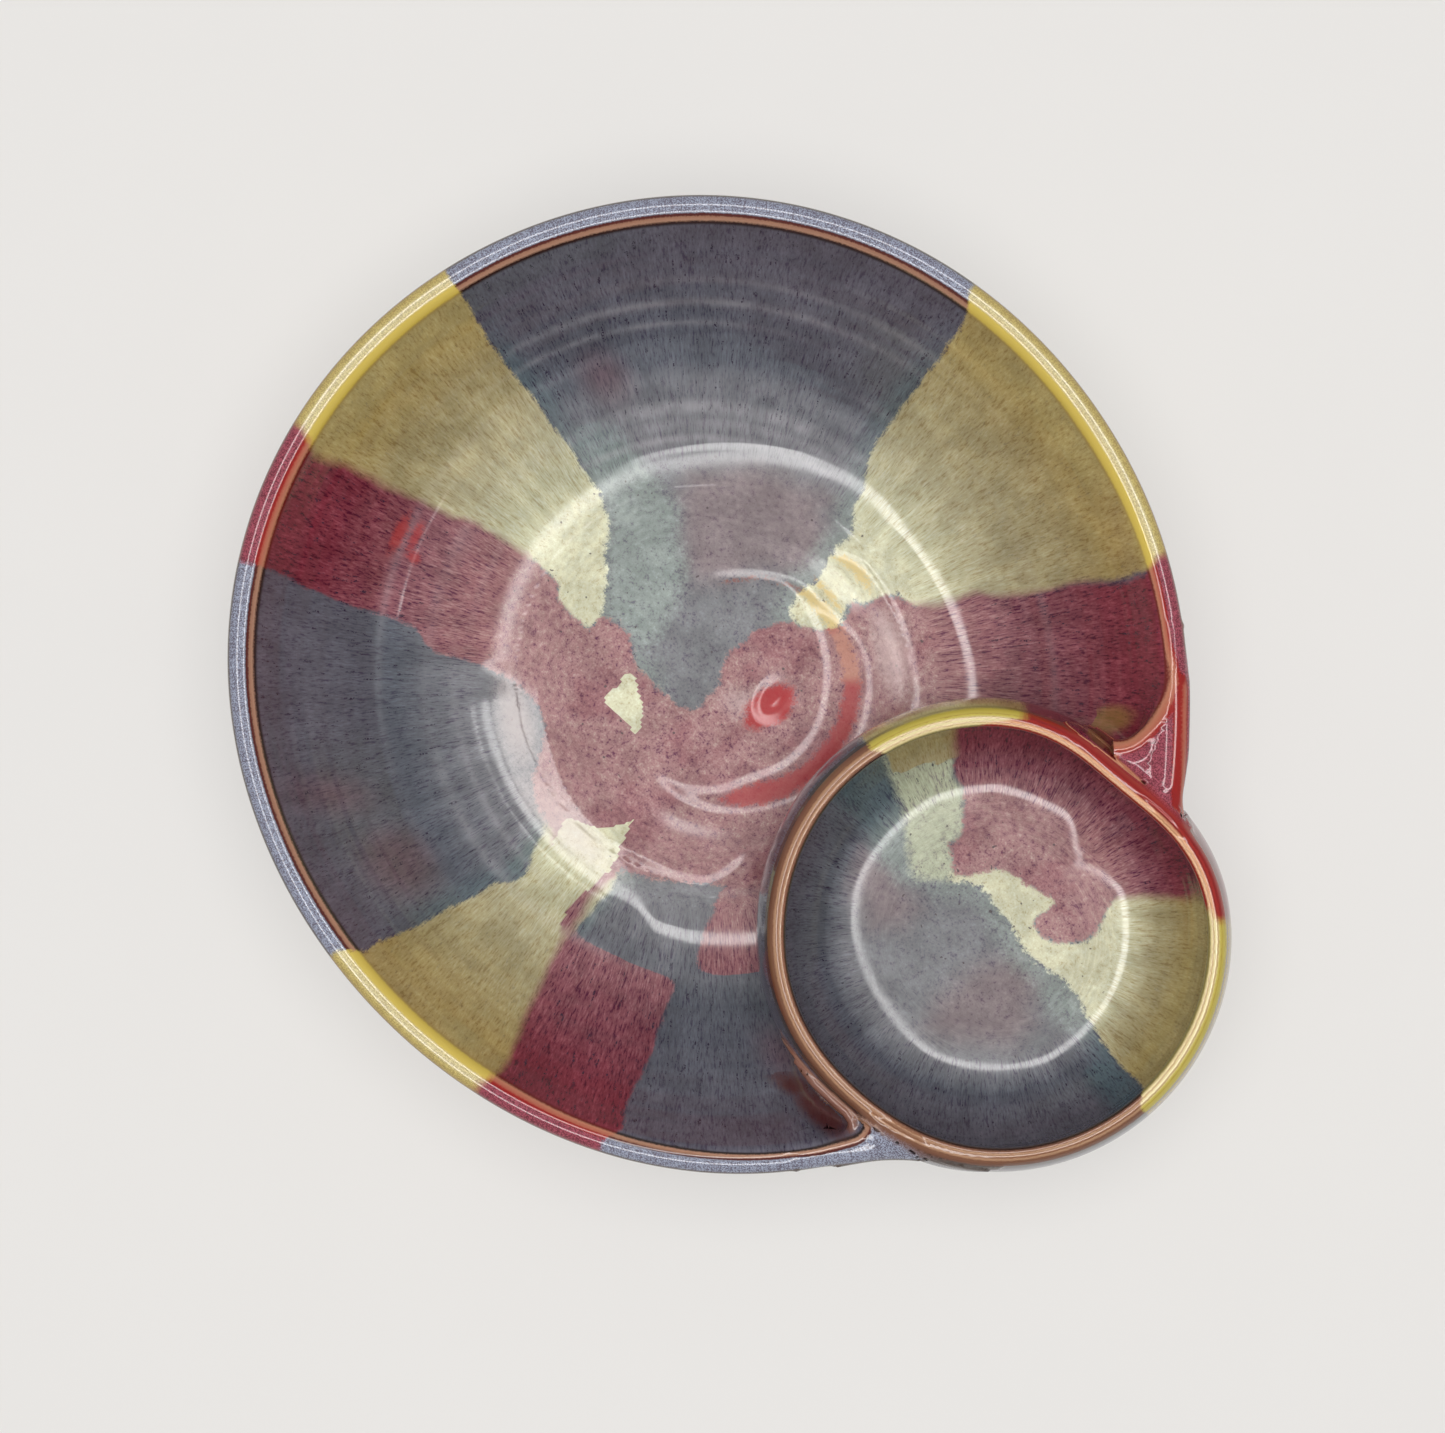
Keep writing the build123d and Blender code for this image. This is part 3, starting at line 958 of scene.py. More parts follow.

# Painted reflection: pale bands where the wall's finger rings reflect the lamps, painted into the colour:
# (angle, half its spread, radius, half width, strength).
PAINTED_SHEEN_BANDS = [
    (130, 34, 79.6, 2.4, 1.0), (136, 36, 70.9, 1.2, 0.8), (126, 30, 75.0, 2.0, 0.6),
    (122, 36, 86.0, 4.5, 0.45), (137, 28, 107.4, 1.0, 0.6), (150, 18, 102.4, 0.8, 0.6),
    (112, 24, 112.5, 0.8, 0.35), (196, 30, 96.0, 1.2, 0.4), (186, 26, 82.0, 2.0, 0.35),
    (262, 30, 84.0, 1.6, 0.55), (258, 26, 76.0, 1.2, 0.6), (90, 20, 93.0, 1.4, 0.3),
    (60, 24, 98.0, 1.2, 0.3), (330, 30, 60.0, 1.4, 0.4),
]
KNOB_MARK = (16.2, 6.0, 8.8, 5.6, 78)

# Where the glaze breaks over the ridges: (angle, radius, half width).
BREAKS = [
    [
        (0, 36.5, 3.0), (20, 38.8, 2.9), (42, 40.3, 2.8), (66, 39.8, 2.3), (80, 39, 2.3), (89, 38.2, 1.2),
        (100, 36, 0.35), (110, 33.8, 0.5), (125, 30, 0.6), (136, 28.5, -1), (150, 28, -4), (300, 32.5, -4),
        (310, 32.5, -2), (315, 33, 0.6), (322, 33, 2.4), (330, 33, 3.2), (340, 34, 3.4), (360, 36.5, 3.0),
    ],
    [
        (0, 44, -4), (60, 44, -4), (69, 43.8, -1), (72, 43.5, 1.3), (87, 43.3, 1.3), (92, 43, -1),
        (110, 43, -4), (360, 44, -4),
    ],
    [
        (0, 54, -4), (60, 54, -4), (70, 54, -1), (74, 54.3, 1.8), (82, 54.6, 2), (87, 53, 1.6),
        (91, 51, -1), (110, 51, -4), (360, 54, -4),
    ],
]


# The reach that stands for no glaze near.
NOWHERE = -1e3


def run_reach(angle, radius, level, runs):
    """How far inside the nearest run of glaze each point is, in millimetres; outside, it is negative.

    Level goes from -1 on the rim through 0 just inside it to 1 at the foot of the wall.
    """
    reach = np.full(len(angle), NOWHERE)
    steps = [-1.0, 0.0, 1.0]
    for start, stop in runs:
        first = np.interp(level, steps, start)
        last = np.interp(level, steps, stop)
        inside = (last - first) / 2 - np.abs(angle_between(angle, (first + last) / 2))
        reach = np.maximum(reach, np.radians(inside) * radius)
    return reach


def outline_reach(x, y, outlines):
    """How far inside the nearest outline each point is, in millimetres."""
    reach = np.full(len(x), NOWHERE)
    for outline in outlines:
        reach = np.maximum(reach, -outline_distance(x, y, outline))
    return reach


def mark_reach(x, y, marks):
    """How far inside the nearest small mark each point is, in millimetres."""
    reach = np.full(len(x), NOWHERE)
    for centre_x, centre_y, half_length, half_width, turn in marks:
        cos_turn = math.cos(math.radians(turn))
        sin_turn = math.sin(math.radians(turn))
        u = (x - centre_x) * cos_turn + (y - centre_y) * sin_turn
        v = -(x - centre_x) * sin_turn + (y - centre_y) * cos_turn
        inside = (1.0 - np.hypot(u / half_length, v / half_width)) * min(half_length, half_width)
        reach = np.maximum(reach, inside)
    return reach


def waver(points, amount, size, seed):
    """A smooth uneven shift of up to amount."""
    return amount * turbulence(points, size, seed)


# How wide each rim's own colours are.
RIM_END = 7.8
DIP_RIM_END = 5.5


def rim_depth(side, radius, height, outer_radius, rim_height, half):
    """Place across a rim: distance in plan from its outer edge, or, lower on the outside, minus the drop."""
    drop = np.maximum(rim_height - half - height, 0.0)
    across = np.maximum(outer_radius - radius, 0.0)
    return np.where((side < 0) & (drop > 0), -drop, across + np.where(side < 0, 0.0, 0.8 * drop))


# How much narrower the chip bowl's rim colours are: (angle, factor).
RIM_NARROWING = [(0, 1.35), (36, 1.3), (50, 1.22), (75, 1), (285, 1), (305, 1.2), (320, 1.38), (360, 1.35)]

BOWL_OUTLINES = dict(plum=FLOOR_PLUM, straw=FLOOR_STRAW, teal=FLOOR_TEAL, mauve=FLOOR_MAUVE)
DIP_OUTLINES = dict(plum=DIP_PLUM, straw=DIP_STRAW, teal=DIP_TEAL, mauve=DIP_MAUVE, green=DIP_GREEN)
GLAZES = ("plum", "straw", "teal", "mauve", "green")


def rim_level(rim, side, pool):
    """Level at which the runs are read: -1 on the rim, 0 just inside it, up to 1 where the glaze pools."""
    return np.clip((rim - 3.0) / 6.0, 0.0, 1.0) - 1.0 + np.where(side > 0, pool, 0.0)


def glaze_reach(swayed, radius, level, runs, low, spot, outlines, floor):
    """How far inside each glaze every point is: by its runs, and over the floor by its outlines."""
    reach = {glaze: run_reach(swayed, radius, level, runs.get(glaze, [])) for glaze in GLAZES}
    for glaze, shapes in outlines.items():
        walls = np.maximum(reach[glaze][low], -40.0)
        reach[glaze][low] = mix(walls, outline_reach(*spot, shapes), floor)
    return reach


def flow_down(points, angle, along, girth, stay):
    """Where the streaks are read: they run down the wall, and lose their direction over the floor."""
    radians = np.radians(angle)
    flow = np.stack([girth * np.cos(radians), girth * np.sin(radians), along * 0.2], axis=1)
    return mix(points * np.array([1.0, 1.0, 0.3]), flow, stay[:, None])


def bowl_glaze(points):
    """What the glaze material needs to know about each point of the chip bowl."""
    wall = bowl_field(points)
    side, radius, angle = wall.side, wall.radius, wall.angle
    rim = rim_depth(side, radius, points[:, 2], MEAN_RADIUS, RIM_HEIGHT, LIP_HALF)
    rim = np.where(rim > 0, rim * around(angle, RIM_NARROWING), rim)
    pool = np.clip((122.0 - radius) / 60.0, 0.0, 1.0)
    level = rim_level(rim, side, pool)
    sway = waver(points, 1.3, 26.0, 3) + waver(points, 0.7, 7.0, 5)
    swayed = angle + np.degrees(sway / np.maximum(radius, 20.0))
    low = np.flatnonzero((side > 0) & (radius < 89))
    x = points[low, 0] + waver(points[low], 0.8, 7.0, 11) + waver(points[low], 0.5, 2.6, 12)
    y = points[low, 1] + waver(points[low], 0.8, 7.0, 13) + waver(points[low], 0.5, 2.6, 14)
    floor = 1 - ramp(radius[low], 80, 88)
    reach = glaze_reach(swayed, radius, level, BOWL_RUNS, low, (x, y), BOWL_OUTLINES, floor)
    reach["plum"] = np.where(reach["straw"] > 2.0, np.minimum(reach["plum"], -reach["straw"]), reach["plum"])
    on_wall = ramp(radius, 60, 70)
    crest = np.full(len(points), -6.0)
    for stops in BREAKS:
        middle = around(angle[low], [(a, r) for a, r, _ in stops])
        half_width = around(angle[low], [(a, w) for a, _, w in stops])
        crest[low] = np.maximum(crest[low], half_width - np.abs(radius[low] - middle))
    # Painted reflection: how strongly the pale sheen of the finger rings' bands is painted, on the inside
    # only.
    painted_sheen = np.zeros(len(points))
    for centre, spread, middle, half_width, strength in PAINTED_SHEEN_BANDS:
        across = np.exp(-(((radius - middle - 0.012 * angle_between(angle, centre)) / half_width) ** 2))
        painted_sheen = np.maximum(painted_sheen, strength * across * bump(angle, centre, spread) ** 0.5)
    painted_sheen = np.where(side > 0, painted_sheen, 0.0)
    button = np.full(len(points), -6.0)
    button[low] = mark_reach(points[low, 0], points[low, 1], [KNOB_MARK])
    warm = np.where(crest > -5, 24 * bump(angle, 55, 13) - 12, -12.0)
    flow = flow_down(points, angle, wall.along, 120, ramp(radius, 42, 66))
    marks = dict(crest=crest, button=button, warm=warm, painted_sheen=painted_sheen)
    return dict(reach, rim=rim, pool=np.where(side > 0, pool, 0.0), wall=on_wall, **marks), flow


def dip_glaze(points):
    """The same for the dip bowl."""
    wall = dip_field(points)
    side, radius, angle = wall.side, wall.radius, wall.angle
    outer_radius = DIP_LIP_RADIUS + DIP_LIP_HALF
    rim = rim_depth(side, radius, points[:, 2], outer_radius, DIP_RIM_HEIGHT, DIP_LIP_HALF)
    rim = np.where(rim > 0, rim * RIM_END / DIP_RIM_END, rim)
    pool = np.clip((57.0 - radius) / 20.0, 0.0, 1.0)
    level = rim_level(rim, side, pool)
    sway = waver(points, 0.9, 18.0, 23) + waver(points, 0.5, 6.0, 25)
    swayed = angle + np.degrees(sway / np.maximum(radius, 12.0))
    low = np.flatnonzero((side > 0) & (radius < 52))
    x = points[low, 0] - DIP_AXIS_X + waver(points[low], 0.5, 6.0, 31) + waver(points[low], 0.5, 2.4, 32)
    y = points[low, 1] + waver(points[low], 0.5, 6.0, 33) + waver(points[low], 0.5, 2.4, 34)
    floor = 1 - ramp(radius[low] + waver(points[low], 2.6, 3.0, 35), 43, 52)
    reach = glaze_reach(swayed, radius, level, DIP_RUNS, low, (x, y), DIP_OUTLINES, floor)
    flow = flow_down(points, angle, wall.along, 62, ramp(radius, 26, 38))
    on_wall = ramp(radius, 36, 42)
    none = np.full(len(points), -12.0)
    marks = dict(crest=none, button=none, warm=none, painted_sheen=np.zeros(len(points)))
    return dict(reach, rim=rim, pool=np.where(side > 0, pool, 0.0), wall=on_wall, **marks), flow


def web_glaze(points, known):
    """Changes what is known about points on the webs, which carry one glaze each between two edges."""
    envelope = dip_field(points).envelope
    for web in WEBS.values():
        plan = web_plan(points, web)
        weight = ramp(-plan, -2.5, 0.5) * ramp(points[:, 2], 65, 69) * ramp(envelope, 0.5, 2.2)
        for axis, low, high in web["fades"]:
            weight *= ramp(points[:, axis], low, high)
        here = np.flatnonzero(weight > 0)
        x, y = points[here, 0], points[here, 1]
        past_edge = plan[here] > 0
        from_crevice = edge_distance(x, y, web["crevice"])
        from_outside = edge_distance(x, y, web["outside"])
        crevice_nearer = from_crevice < from_outside
        from_crevice = np.where(past_edge & crevice_nearer, 0.0, from_crevice)
        from_outside = np.where(past_edge & ~crevice_nearer, 0.0, from_outside)
        inner_rim = np.interp(from_crevice, *web["crevice_rim"])
        outer_rim = np.interp(from_outside, *web["outside_rim"])
        rim = np.where(crevice_nearer, inner_rim, outer_rim)
        part = weight[here]
        known["rim"][here] = mix(known["rim"][here], rim, part)
        known["pool"][here] *= 1 - part
        for glaze, value in web["glazes"].items():
            known[glaze][here] = mix(np.clip(known[glaze][here], -12, 12), value, part)


def bending(points, step=0.8):
    """How sharply the surface bends: positive on ridges and edges, negative in grooves, in 1/mm."""
    total = -6.0 * pot_field(points)
    for axis in range(3):
        offset = np.zeros(3)
        offset[axis] = step
        total += pot_field(points + offset) + pot_field(points - offset)
    return total / (step * step)


def glaze_attributes(points):
    """Every attribute that the glaze material reads, and the direction its streaks run."""
    dip_wall = dip_field(points)
    on_dip = 1 - ramp(dip_wall.envelope, 0.4, 2.4)
    bowl, bowl_flow = bowl_glaze(points)
    dip, dip_flow = dip_glaze(points)
    known = {key: mix(np.clip(bowl[key], -30, 30), np.clip(dip[key], -30, 30), on_dip) for key in bowl}
    flow = mix(bowl_flow, dip_flow, on_dip[:, None])
    web_glaze(points, known)
    meeting = np.exp(-(known["straw"] ** 2 + known["plum"] ** 2) / 30.0) * known["wall"]
    known["straw"] = known["straw"] + 4.0 * meeting
    known["soft"] = 0.7 + meeting * (1.6 + waver(points, 1.4, 12.0, 61))
    x, y, z = points.T
    for mark, marks in MARKS.items():
        low, high = MARK_HEIGHTS[mark]
        known[mark] = np.where((z > low) & (z < high) & (on_dip < 0.5), mark_reach(x, y, marks), -6.0)
    known["dip"] = on_dip
    known["bead"] = 1.0 - ramp(bead_field(points), 0.2, 0.9)
    bare = np.minimum(7.5 - z, 66.0 - np.hypot(x, y)) + waver(points, 0.5, 6.0, 41)
    dip_bare = np.minimum(DIP_BASE_HEIGHT + 2.2 - z, 40.0 - dip_wall.radius)
    known["bare"] = np.where(on_dip > 0.5, np.maximum(dip_bare, -5.0), bare)
    known["bend"] = in_chunks(bending, points)
    known.pop("wall")
    return {key: np.clip(value, -12.0, 12.0) for key, value in known.items()}, flow


# ---------------------------------------------------------------- the glaze material


class Nodes:
    """Short ways to add and link shader nodes."""

    def __init__(self, material):
        material.use_nodes = True
        self.tree = material.node_tree
        self.tree.nodes.clear()

    def add(self, kind, **settings):
        """A new node with its properties set."""
        node = self.tree.nodes.new(kind)
        for key, value in settings.items():
            setattr(node, key, value)
        return node

    def link(self, source, target):
        """Joins an output to an input."""
        self.tree.links.new(source, target)

    def feed(self, value, socket):
        """Links another node's output to an input, or sets the input to a plain value."""
        if isinstance(value, bpy.types.NodeSocket):
            self.link(value, socket)
        else:
            socket.default_value = value

    def finish(self, surface):
        """Joins the shader to the material's output."""
        self.link(surface, self.add("ShaderNodeOutputMaterial").inputs["Surface"])

    def attribute(self, name, vector=False):
        """A vertex attribute."""
        node = self.add("ShaderNodeAttribute", attribute_name=name)
        return node.outputs["Vector" if vector else "Fac"]

    def math(self, operation, a, b=0.0):
        """One sum on one or two values."""
        node = self.add("ShaderNodeMath", operation=operation)
        self.feed(a, node.inputs[0])
        self.feed(b, node.inputs[1])
        return node.outputs[0]

    def total(self, *terms):
        """All terms added up."""
        result = terms[0]
        for term in terms[1:]:
            result = self.math("ADD", result, term)
        return result

    def times(self, *terms):
        """All terms multiplied."""
        result = terms[0]
        for term in terms[1:]:
            result = self.math("MULTIPLY", result, term)
        return result

    def noise(self, vector, scale, detail=2.0, roughness=0.5):
        """Fractal noise in 0..1, mostly near 0.5."""
        node = self.add("ShaderNodeTexNoise")
        self.feed(vector, node.inputs["Vector"])
        node.inputs["Scale"].default_value = scale
        node.inputs["Detail"].default_value = detail
        node.inputs["Roughness"].default_value = roughness
        return node.outputs["Fac"]

    def swing(self, noise, amount):
        """A noise value turned to -amount..amount or so."""
        return self.times(self.math("SUBTRACT", noise, 0.5), 2.0 * amount)

    def span(self, value, low, high, to_low=0.0, to_high=1.0):
        """Smooth step from to_low where value is low to to_high where it is high."""
        node = self.add("ShaderNodeMapRange", interpolation_type="SMOOTHSTEP")
        settings = {"Value": value, "From Min": low, "From Max": high, "To Min": to_low, "To Max": to_high}
        for key, number in settings.items():
            self.feed(number, node.inputs[key])
        return node.outputs["Result"]

    def blend(self, factor, a, b, blend_type="MIX"):
        """Colour a, blended with colour b as much as the factor says."""
        node = self.add("ShaderNodeMix", data_type="RGBA", blend_type=blend_type)
        self.feed(factor, node.inputs["Factor"])
        for value, socket in ((a, node.inputs[6]), (b, node.inputs[7])):
            self.feed(value if isinstance(value, bpy.types.NodeSocket) else (*value, 1.0), socket)
        return node.outputs[2]

    def ramp(self, value, stops):
        """Colour along stops of (position, colour)."""
        node = self.add("ShaderNodeValToRGB")
        elements = node.color_ramp.elements
        while len(elements) < len(stops):
            elements.new(0.5)
        for element, (position, colour) in zip(elements, stops):
            element.position = position
            element.color = (*colour, 1.0)
        self.feed(value, node.inputs["Fac"])
        return node.outputs["Color"]


# Each glaze, from thin at the rim to pooled at the foot of the wall and over the floor. Part of their rise in
# lightness towards the floor is painted light: painted shade on the steep walls and painted sheen over the
# floor.
SLATE = [
    (0, (0.100, 0.093, 0.120)), (0.12, (0.104, 0.104, 0.129)), (0.5, (0.095, 0.103, 0.125)),
    (0.85, (0.190, 0.190, 0.206)), (1, (0.175, 0.177, 0.189)),
]
STRAW = [
    (0, (0.400, 0.300, 0.100)), (0.25, (0.358, 0.295, 0.145)), (0.55, (0.420, 0.375, 0.222)),
    (0.85, (0.540, 0.530, 0.350)), (1, (0.600, 0.590, 0.400)),
]
PLUM = [
    (0, (0.190, 0.021, 0.036)), (0.15, (0.195, 0.032, 0.050)), (0.5, (0.238, 0.084, 0.102)),
    (0.85, (0.310, 0.138, 0.146)), (1, (0.335, 0.165, 0.166)),
]
MAUVE = (0.215, 0.168, 0.176)
TEAL = [(0, (0.060, 0.090, 0.112)), (0.6, (0.110, 0.145, 0.160)), (1, (0.250, 0.290, 0.270))]
GREEN = (0.410, 0.435, 0.305)

# Marks in the glazes.
BLUSH = (0.150, 0.045, 0.060)
CLOT = (0.215, 0.050, 0.070)
# Painted reflection: the pale sheen painted over the finger rings' bands.
PAINTED_SHEEN_COLOUR = (0.560, 0.540, 0.560)
SPECK = (0.022, 0.014, 0.034)
PIT = (0.070, 0.050, 0.055)
# Painted highlight: the pale glare of the pale marks.
PAINTED_GLARE = (0.620, 0.500, 0.480)
GOLD = (0.300, 0.190, 0.040)
DARK = (0.080, 0.012, 0.008)
RUST = (0.380, 0.030, 0.030)
KNOB_RED = (0.400, 0.008, 0.012)
BEAD_BROWN = (0.230, 0.095, 0.060)
POOLED = (0.070, 0.016, 0.014)

# Each glaze where it breaks over the finger ridges, and plum where it breaks warm.
SLATE_BREAK = (0.250, 0.080, 0.060)
STRAW_BREAK = (0.680, 0.500, 0.170)
PLUM_BREAK = (0.400, 0.030, 0.032)
WARM_BREAK = (0.500, 0.210, 0.140)

# How each glaze's fine hairs differ from it: the dark ones and the light ones.
SLATE_HAIRS = (0.54, 0.46, 0.60), (1.24, 1.26, 1.28)
STRAW_HAIRS = (0.74, 0.66, 0.56), (1.16, 1.22, 1.40)
PLUM_HAIRS = (0.34, 0.14, 0.38), (1.42, 1.90, 1.72)

# Across a rim, from its outer edge: (place in mm, colour). The colours start RIM_BEFORE before the edge. The
# glaze has dark and light dots up to SPECKLED, then breaks, and turning lines darken the dip bowl's rim.
RIM_BEFORE = 4.0
RIM_SPAN = 14.0
SPECKLED = 4.9
RIM_DOTS = (0.50, 0.42, 0.46), (1.38, 1.42, 1.46)
RIM_LINES = (0.55, 0.38, 0.28)
LINE_PITCH = 1.75
EDGE_BROWN = (0.060, 0.032, 0.022)
# The dark last stop of each ramp, at the lip's inner edge, is partly glaze pooled there and partly painted
# shade under the lip.
SLATE_RIM = [
    (0.2, EDGE_BROWN), (0.6, (0.240, 0.255, 0.315)), (4.8, (0.240, 0.255, 0.315)),
    (5.1, (0.070, 0.012, 0.009)), (5.6, (0.090, 0.014, 0.010)), (5.9, (0.300, 0.140, 0.085)),
    (6.7, (0.400, 0.215, 0.140)), (7.2, (0.020, 0.008, 0.006)),
]
STRAW_RIM = [
    (0, (0.300, 0.190, 0.060)), (0.5, (0.440, 0.330, 0.100)), (2.0, (0.500, 0.400, 0.150)),
    (3, (0.600, 0.520, 0.290)), (4.6, (0.580, 0.480, 0.220)), (5.2, (0.600, 0.450, 0.090)),
    (7.0, (0.560, 0.410, 0.070)), (7.5, (0.360, 0.250, 0.070)),
]
PLUM_RIM = [
    (0, (0.160, 0.060, 0.040)), (0.5, (0.270, 0.054, 0.076)), (4.3, (0.270, 0.054, 0.076)),
    (4.7, (0.270, 0.008, 0.006)), (5.3, (0.290, 0.010, 0.007)), (5.8, (0.400, 0.100, 0.060)),
    (6.8, (0.460, 0.180, 0.105)), (7.3, (0.130, 0.008, 0.006)),
]
SLATE_DIP_RIM = [
    (0.2, EDGE_BROWN), (0.6, (0.150, 0.060, 0.034)), (2.2, (0.200, 0.085, 0.045)),
    (3.1, (0.400, 0.225, 0.130)), (4.6, (0.300, 0.145, 0.080)), (5.4, (0.480, 0.290, 0.175)),
    (6.2, (0.240, 0.100, 0.055)), (7.0, (0.030, 0.012, 0.008)),
]
STRAW_DIP_RIM = [
    (0, (0.260, 0.190, 0.040)), (0.5, (0.500, 0.400, 0.060)), (3.0, (0.520, 0.420, 0.080)),
    (4.0, (0.740, 0.640, 0.350)), (6.6, (0.720, 0.590, 0.300)), (7.2, (0.240, 0.190, 0.040)),
]
PLUM_DIP_RIM = [
    (0, (0.200, 0.060, 0.040)), (0.5, (0.300, 0.030, 0.018)), (2.0, (0.270, 0.009, 0.008)),
    (4.0, (0.330, 0.022, 0.014)), (4.8, (0.640, 0.330, 0.180)), (6.3, (0.760, 0.460, 0.260)),
    (6.9, (0.280, 0.014, 0.008)),
]
BARE_CLAY = (0.420, 0.300, 0.210)
DARK_CLAY = (0.340, 0.235, 0.155)
CLAY_EDGE = (0.150, 0.070, 0.040)
GLAZE_IOR = 1.58


def cover(n, v, name, give=None, shift=0.0):
    """How much a glaze or mark covers, with a frayed edge: give wide, or as soft as the glaze itself is."""
    reach = n.total(n.attribute(name), v.fray, shift)
    if give is None:
        soft = n.attribute("soft")
        return n.span(reach, n.math("MULTIPLY", soft, -1.0), soft)
    return n.span(reach, -give, give)


def shared_values(n):
    """The values that several parts of the glaze read."""
    v = SimpleNamespace()
    v.flow = n.attribute("flow", vector=True)
    v.place = n.add("ShaderNodeTexCoord").outputs["Object"]
    v.rim = n.attribute("rim")
    v.fine_hair = n.noise(v.flow, 1.7, 3.0, 0.6)
    v.broad_hair = n.noise(v.flow, 0.7, 2.0, 0.6)
    v.grain = n.noise(v.place, 1500.0, 2.0, 0.6)
    v.curdle = n.noise(v.place, 520.0, 4.0, 0.68)
    v.cloud = n.noise(v.place, 90.0, 3.0, 0.55)
    v.patch = n.noise(v.flow, 0.16, 2.0, 0.5)
    pool = n.attribute("pool")
    v.on_floor = n.span(pool, 0.88, 1.0)
    v.pool = n.total(pool, n.swing(v.patch, 0.08))
    floor_fray = n.times(v.on_floor, n.swing(v.curdle, 2.6))
    v.fray = n.total(n.swing(v.broad_hair, 0.8), n.swing(v.fine_hair, 1.0), n.swing(v.grain, 0.9), floor_fray)
    v.in_straw = cover(n, v, "straw")
    v.in_plum = cover(n, v, "plum")
    v.on_rim = n.times(n.span(v.rim, -1.5, -0.3), n.span(v.rim, RIM_END + 0.3, RIM_END - 0.4))
    v.bare = n.span(n.attribute("bare"), -0.15, 0.15)
    return v


def by_glaze(n, v, slate, straw, plum):
    """The colour of whichever glaze is there."""
    return n.blend(v.in_plum, n.blend(v.in_straw, slate, straw), plum)


def glaze_colours(n, v):
    """The glazes, from thin to pooled, as they lie over one another."""
    beside_straw = n.span(n.total(n.attribute("straw"), v.fray), -8.5, -1.0)
    near_straw = n.times(beside_straw, n.span(v.pool, 0.02, 0.3, 0.15, 0.75))
    in_teal = n.math("MAXIMUM", cover(n, v, "teal", 3.6), near_straw)
    # The ramps by pool paint light as well as glaze: darker up the steep walls, paler over the floor.
    colour = n.blend(cover(n, v, "mauve", 6.0), n.ramp(v.pool, SLATE), MAUVE)
    colour = n.blend(in_teal, colour, n.ramp(v.pool, TEAL))
    colour = n.blend(n.times(cover(n, v, "blush", 5.0, -1.5), 0.4), colour, BLUSH)
    colour = n.blend(cover(n, v, "green", 2.0), colour, GREEN)
    colour = by_glaze(n, v, colour, n.ramp(v.pool, STRAW), n.ramp(v.pool, PLUM))
    clot = n.span(n.noise(v.place, 62.0, 3.0, 0.6), 0.48, 0.66)
    return n.blend(n.times(v.in_plum, v.on_floor, clot, 0.5), colour, CLOT)


def with_hairs(n, v, colour):
    """Dark and light hairs that run down the walls and curdle over the floor, and slow changes of tone."""
    dark_hair = by_glaze(n, v, SLATE_HAIRS[0], STRAW_HAIRS[0], PLUM_HAIRS[0])
    light_hair = by_glaze(n, v, SLATE_HAIRS[1], STRAW_HAIRS[1], PLUM_HAIRS[1])
    streaks = n.total(n.times(v.fine_hair, 0.60), n.times(v.broad_hair, 0.28), n.times(v.grain, 0.12))
    curds = n.total(n.times(v.curdle, 0.70), n.times(v.fine_hair, 0.20), n.times(v.grain, 0.10))
    streaked = n.span(v.pool, 0.85, 1.0, 1.0, 0.35)
    curdled = n.span(v.pool, 0.85, 1.0, 0.0, 0.65)
    hair = n.total(n.times(streaks, streaked), n.times(curds, curdled))
    dark_amount = n.span(hair, 0.50, 0.37)
    light_amount = n.span(hair, 0.50, 0.64)
    colour = n.blend(dark_amount, colour, n.blend(1.0, colour, dark_hair, "MULTIPLY"))
    colour = n.blend(light_amount, colour, n.blend(1.0, colour, light_hair, "MULTIPLY"))
    tone = n.span(n.total(n.times(v.cloud, 0.6), n.times(v.patch, 0.4)), 0.36, 0.64, 0.86, 1.14)
    shade = n.add("ShaderNodeCombineColor")
    for socket in shade.inputs:
        n.link(tone, socket)
    return n.blend(1.0, colour, shade.outputs["Color"], "MULTIPLY")


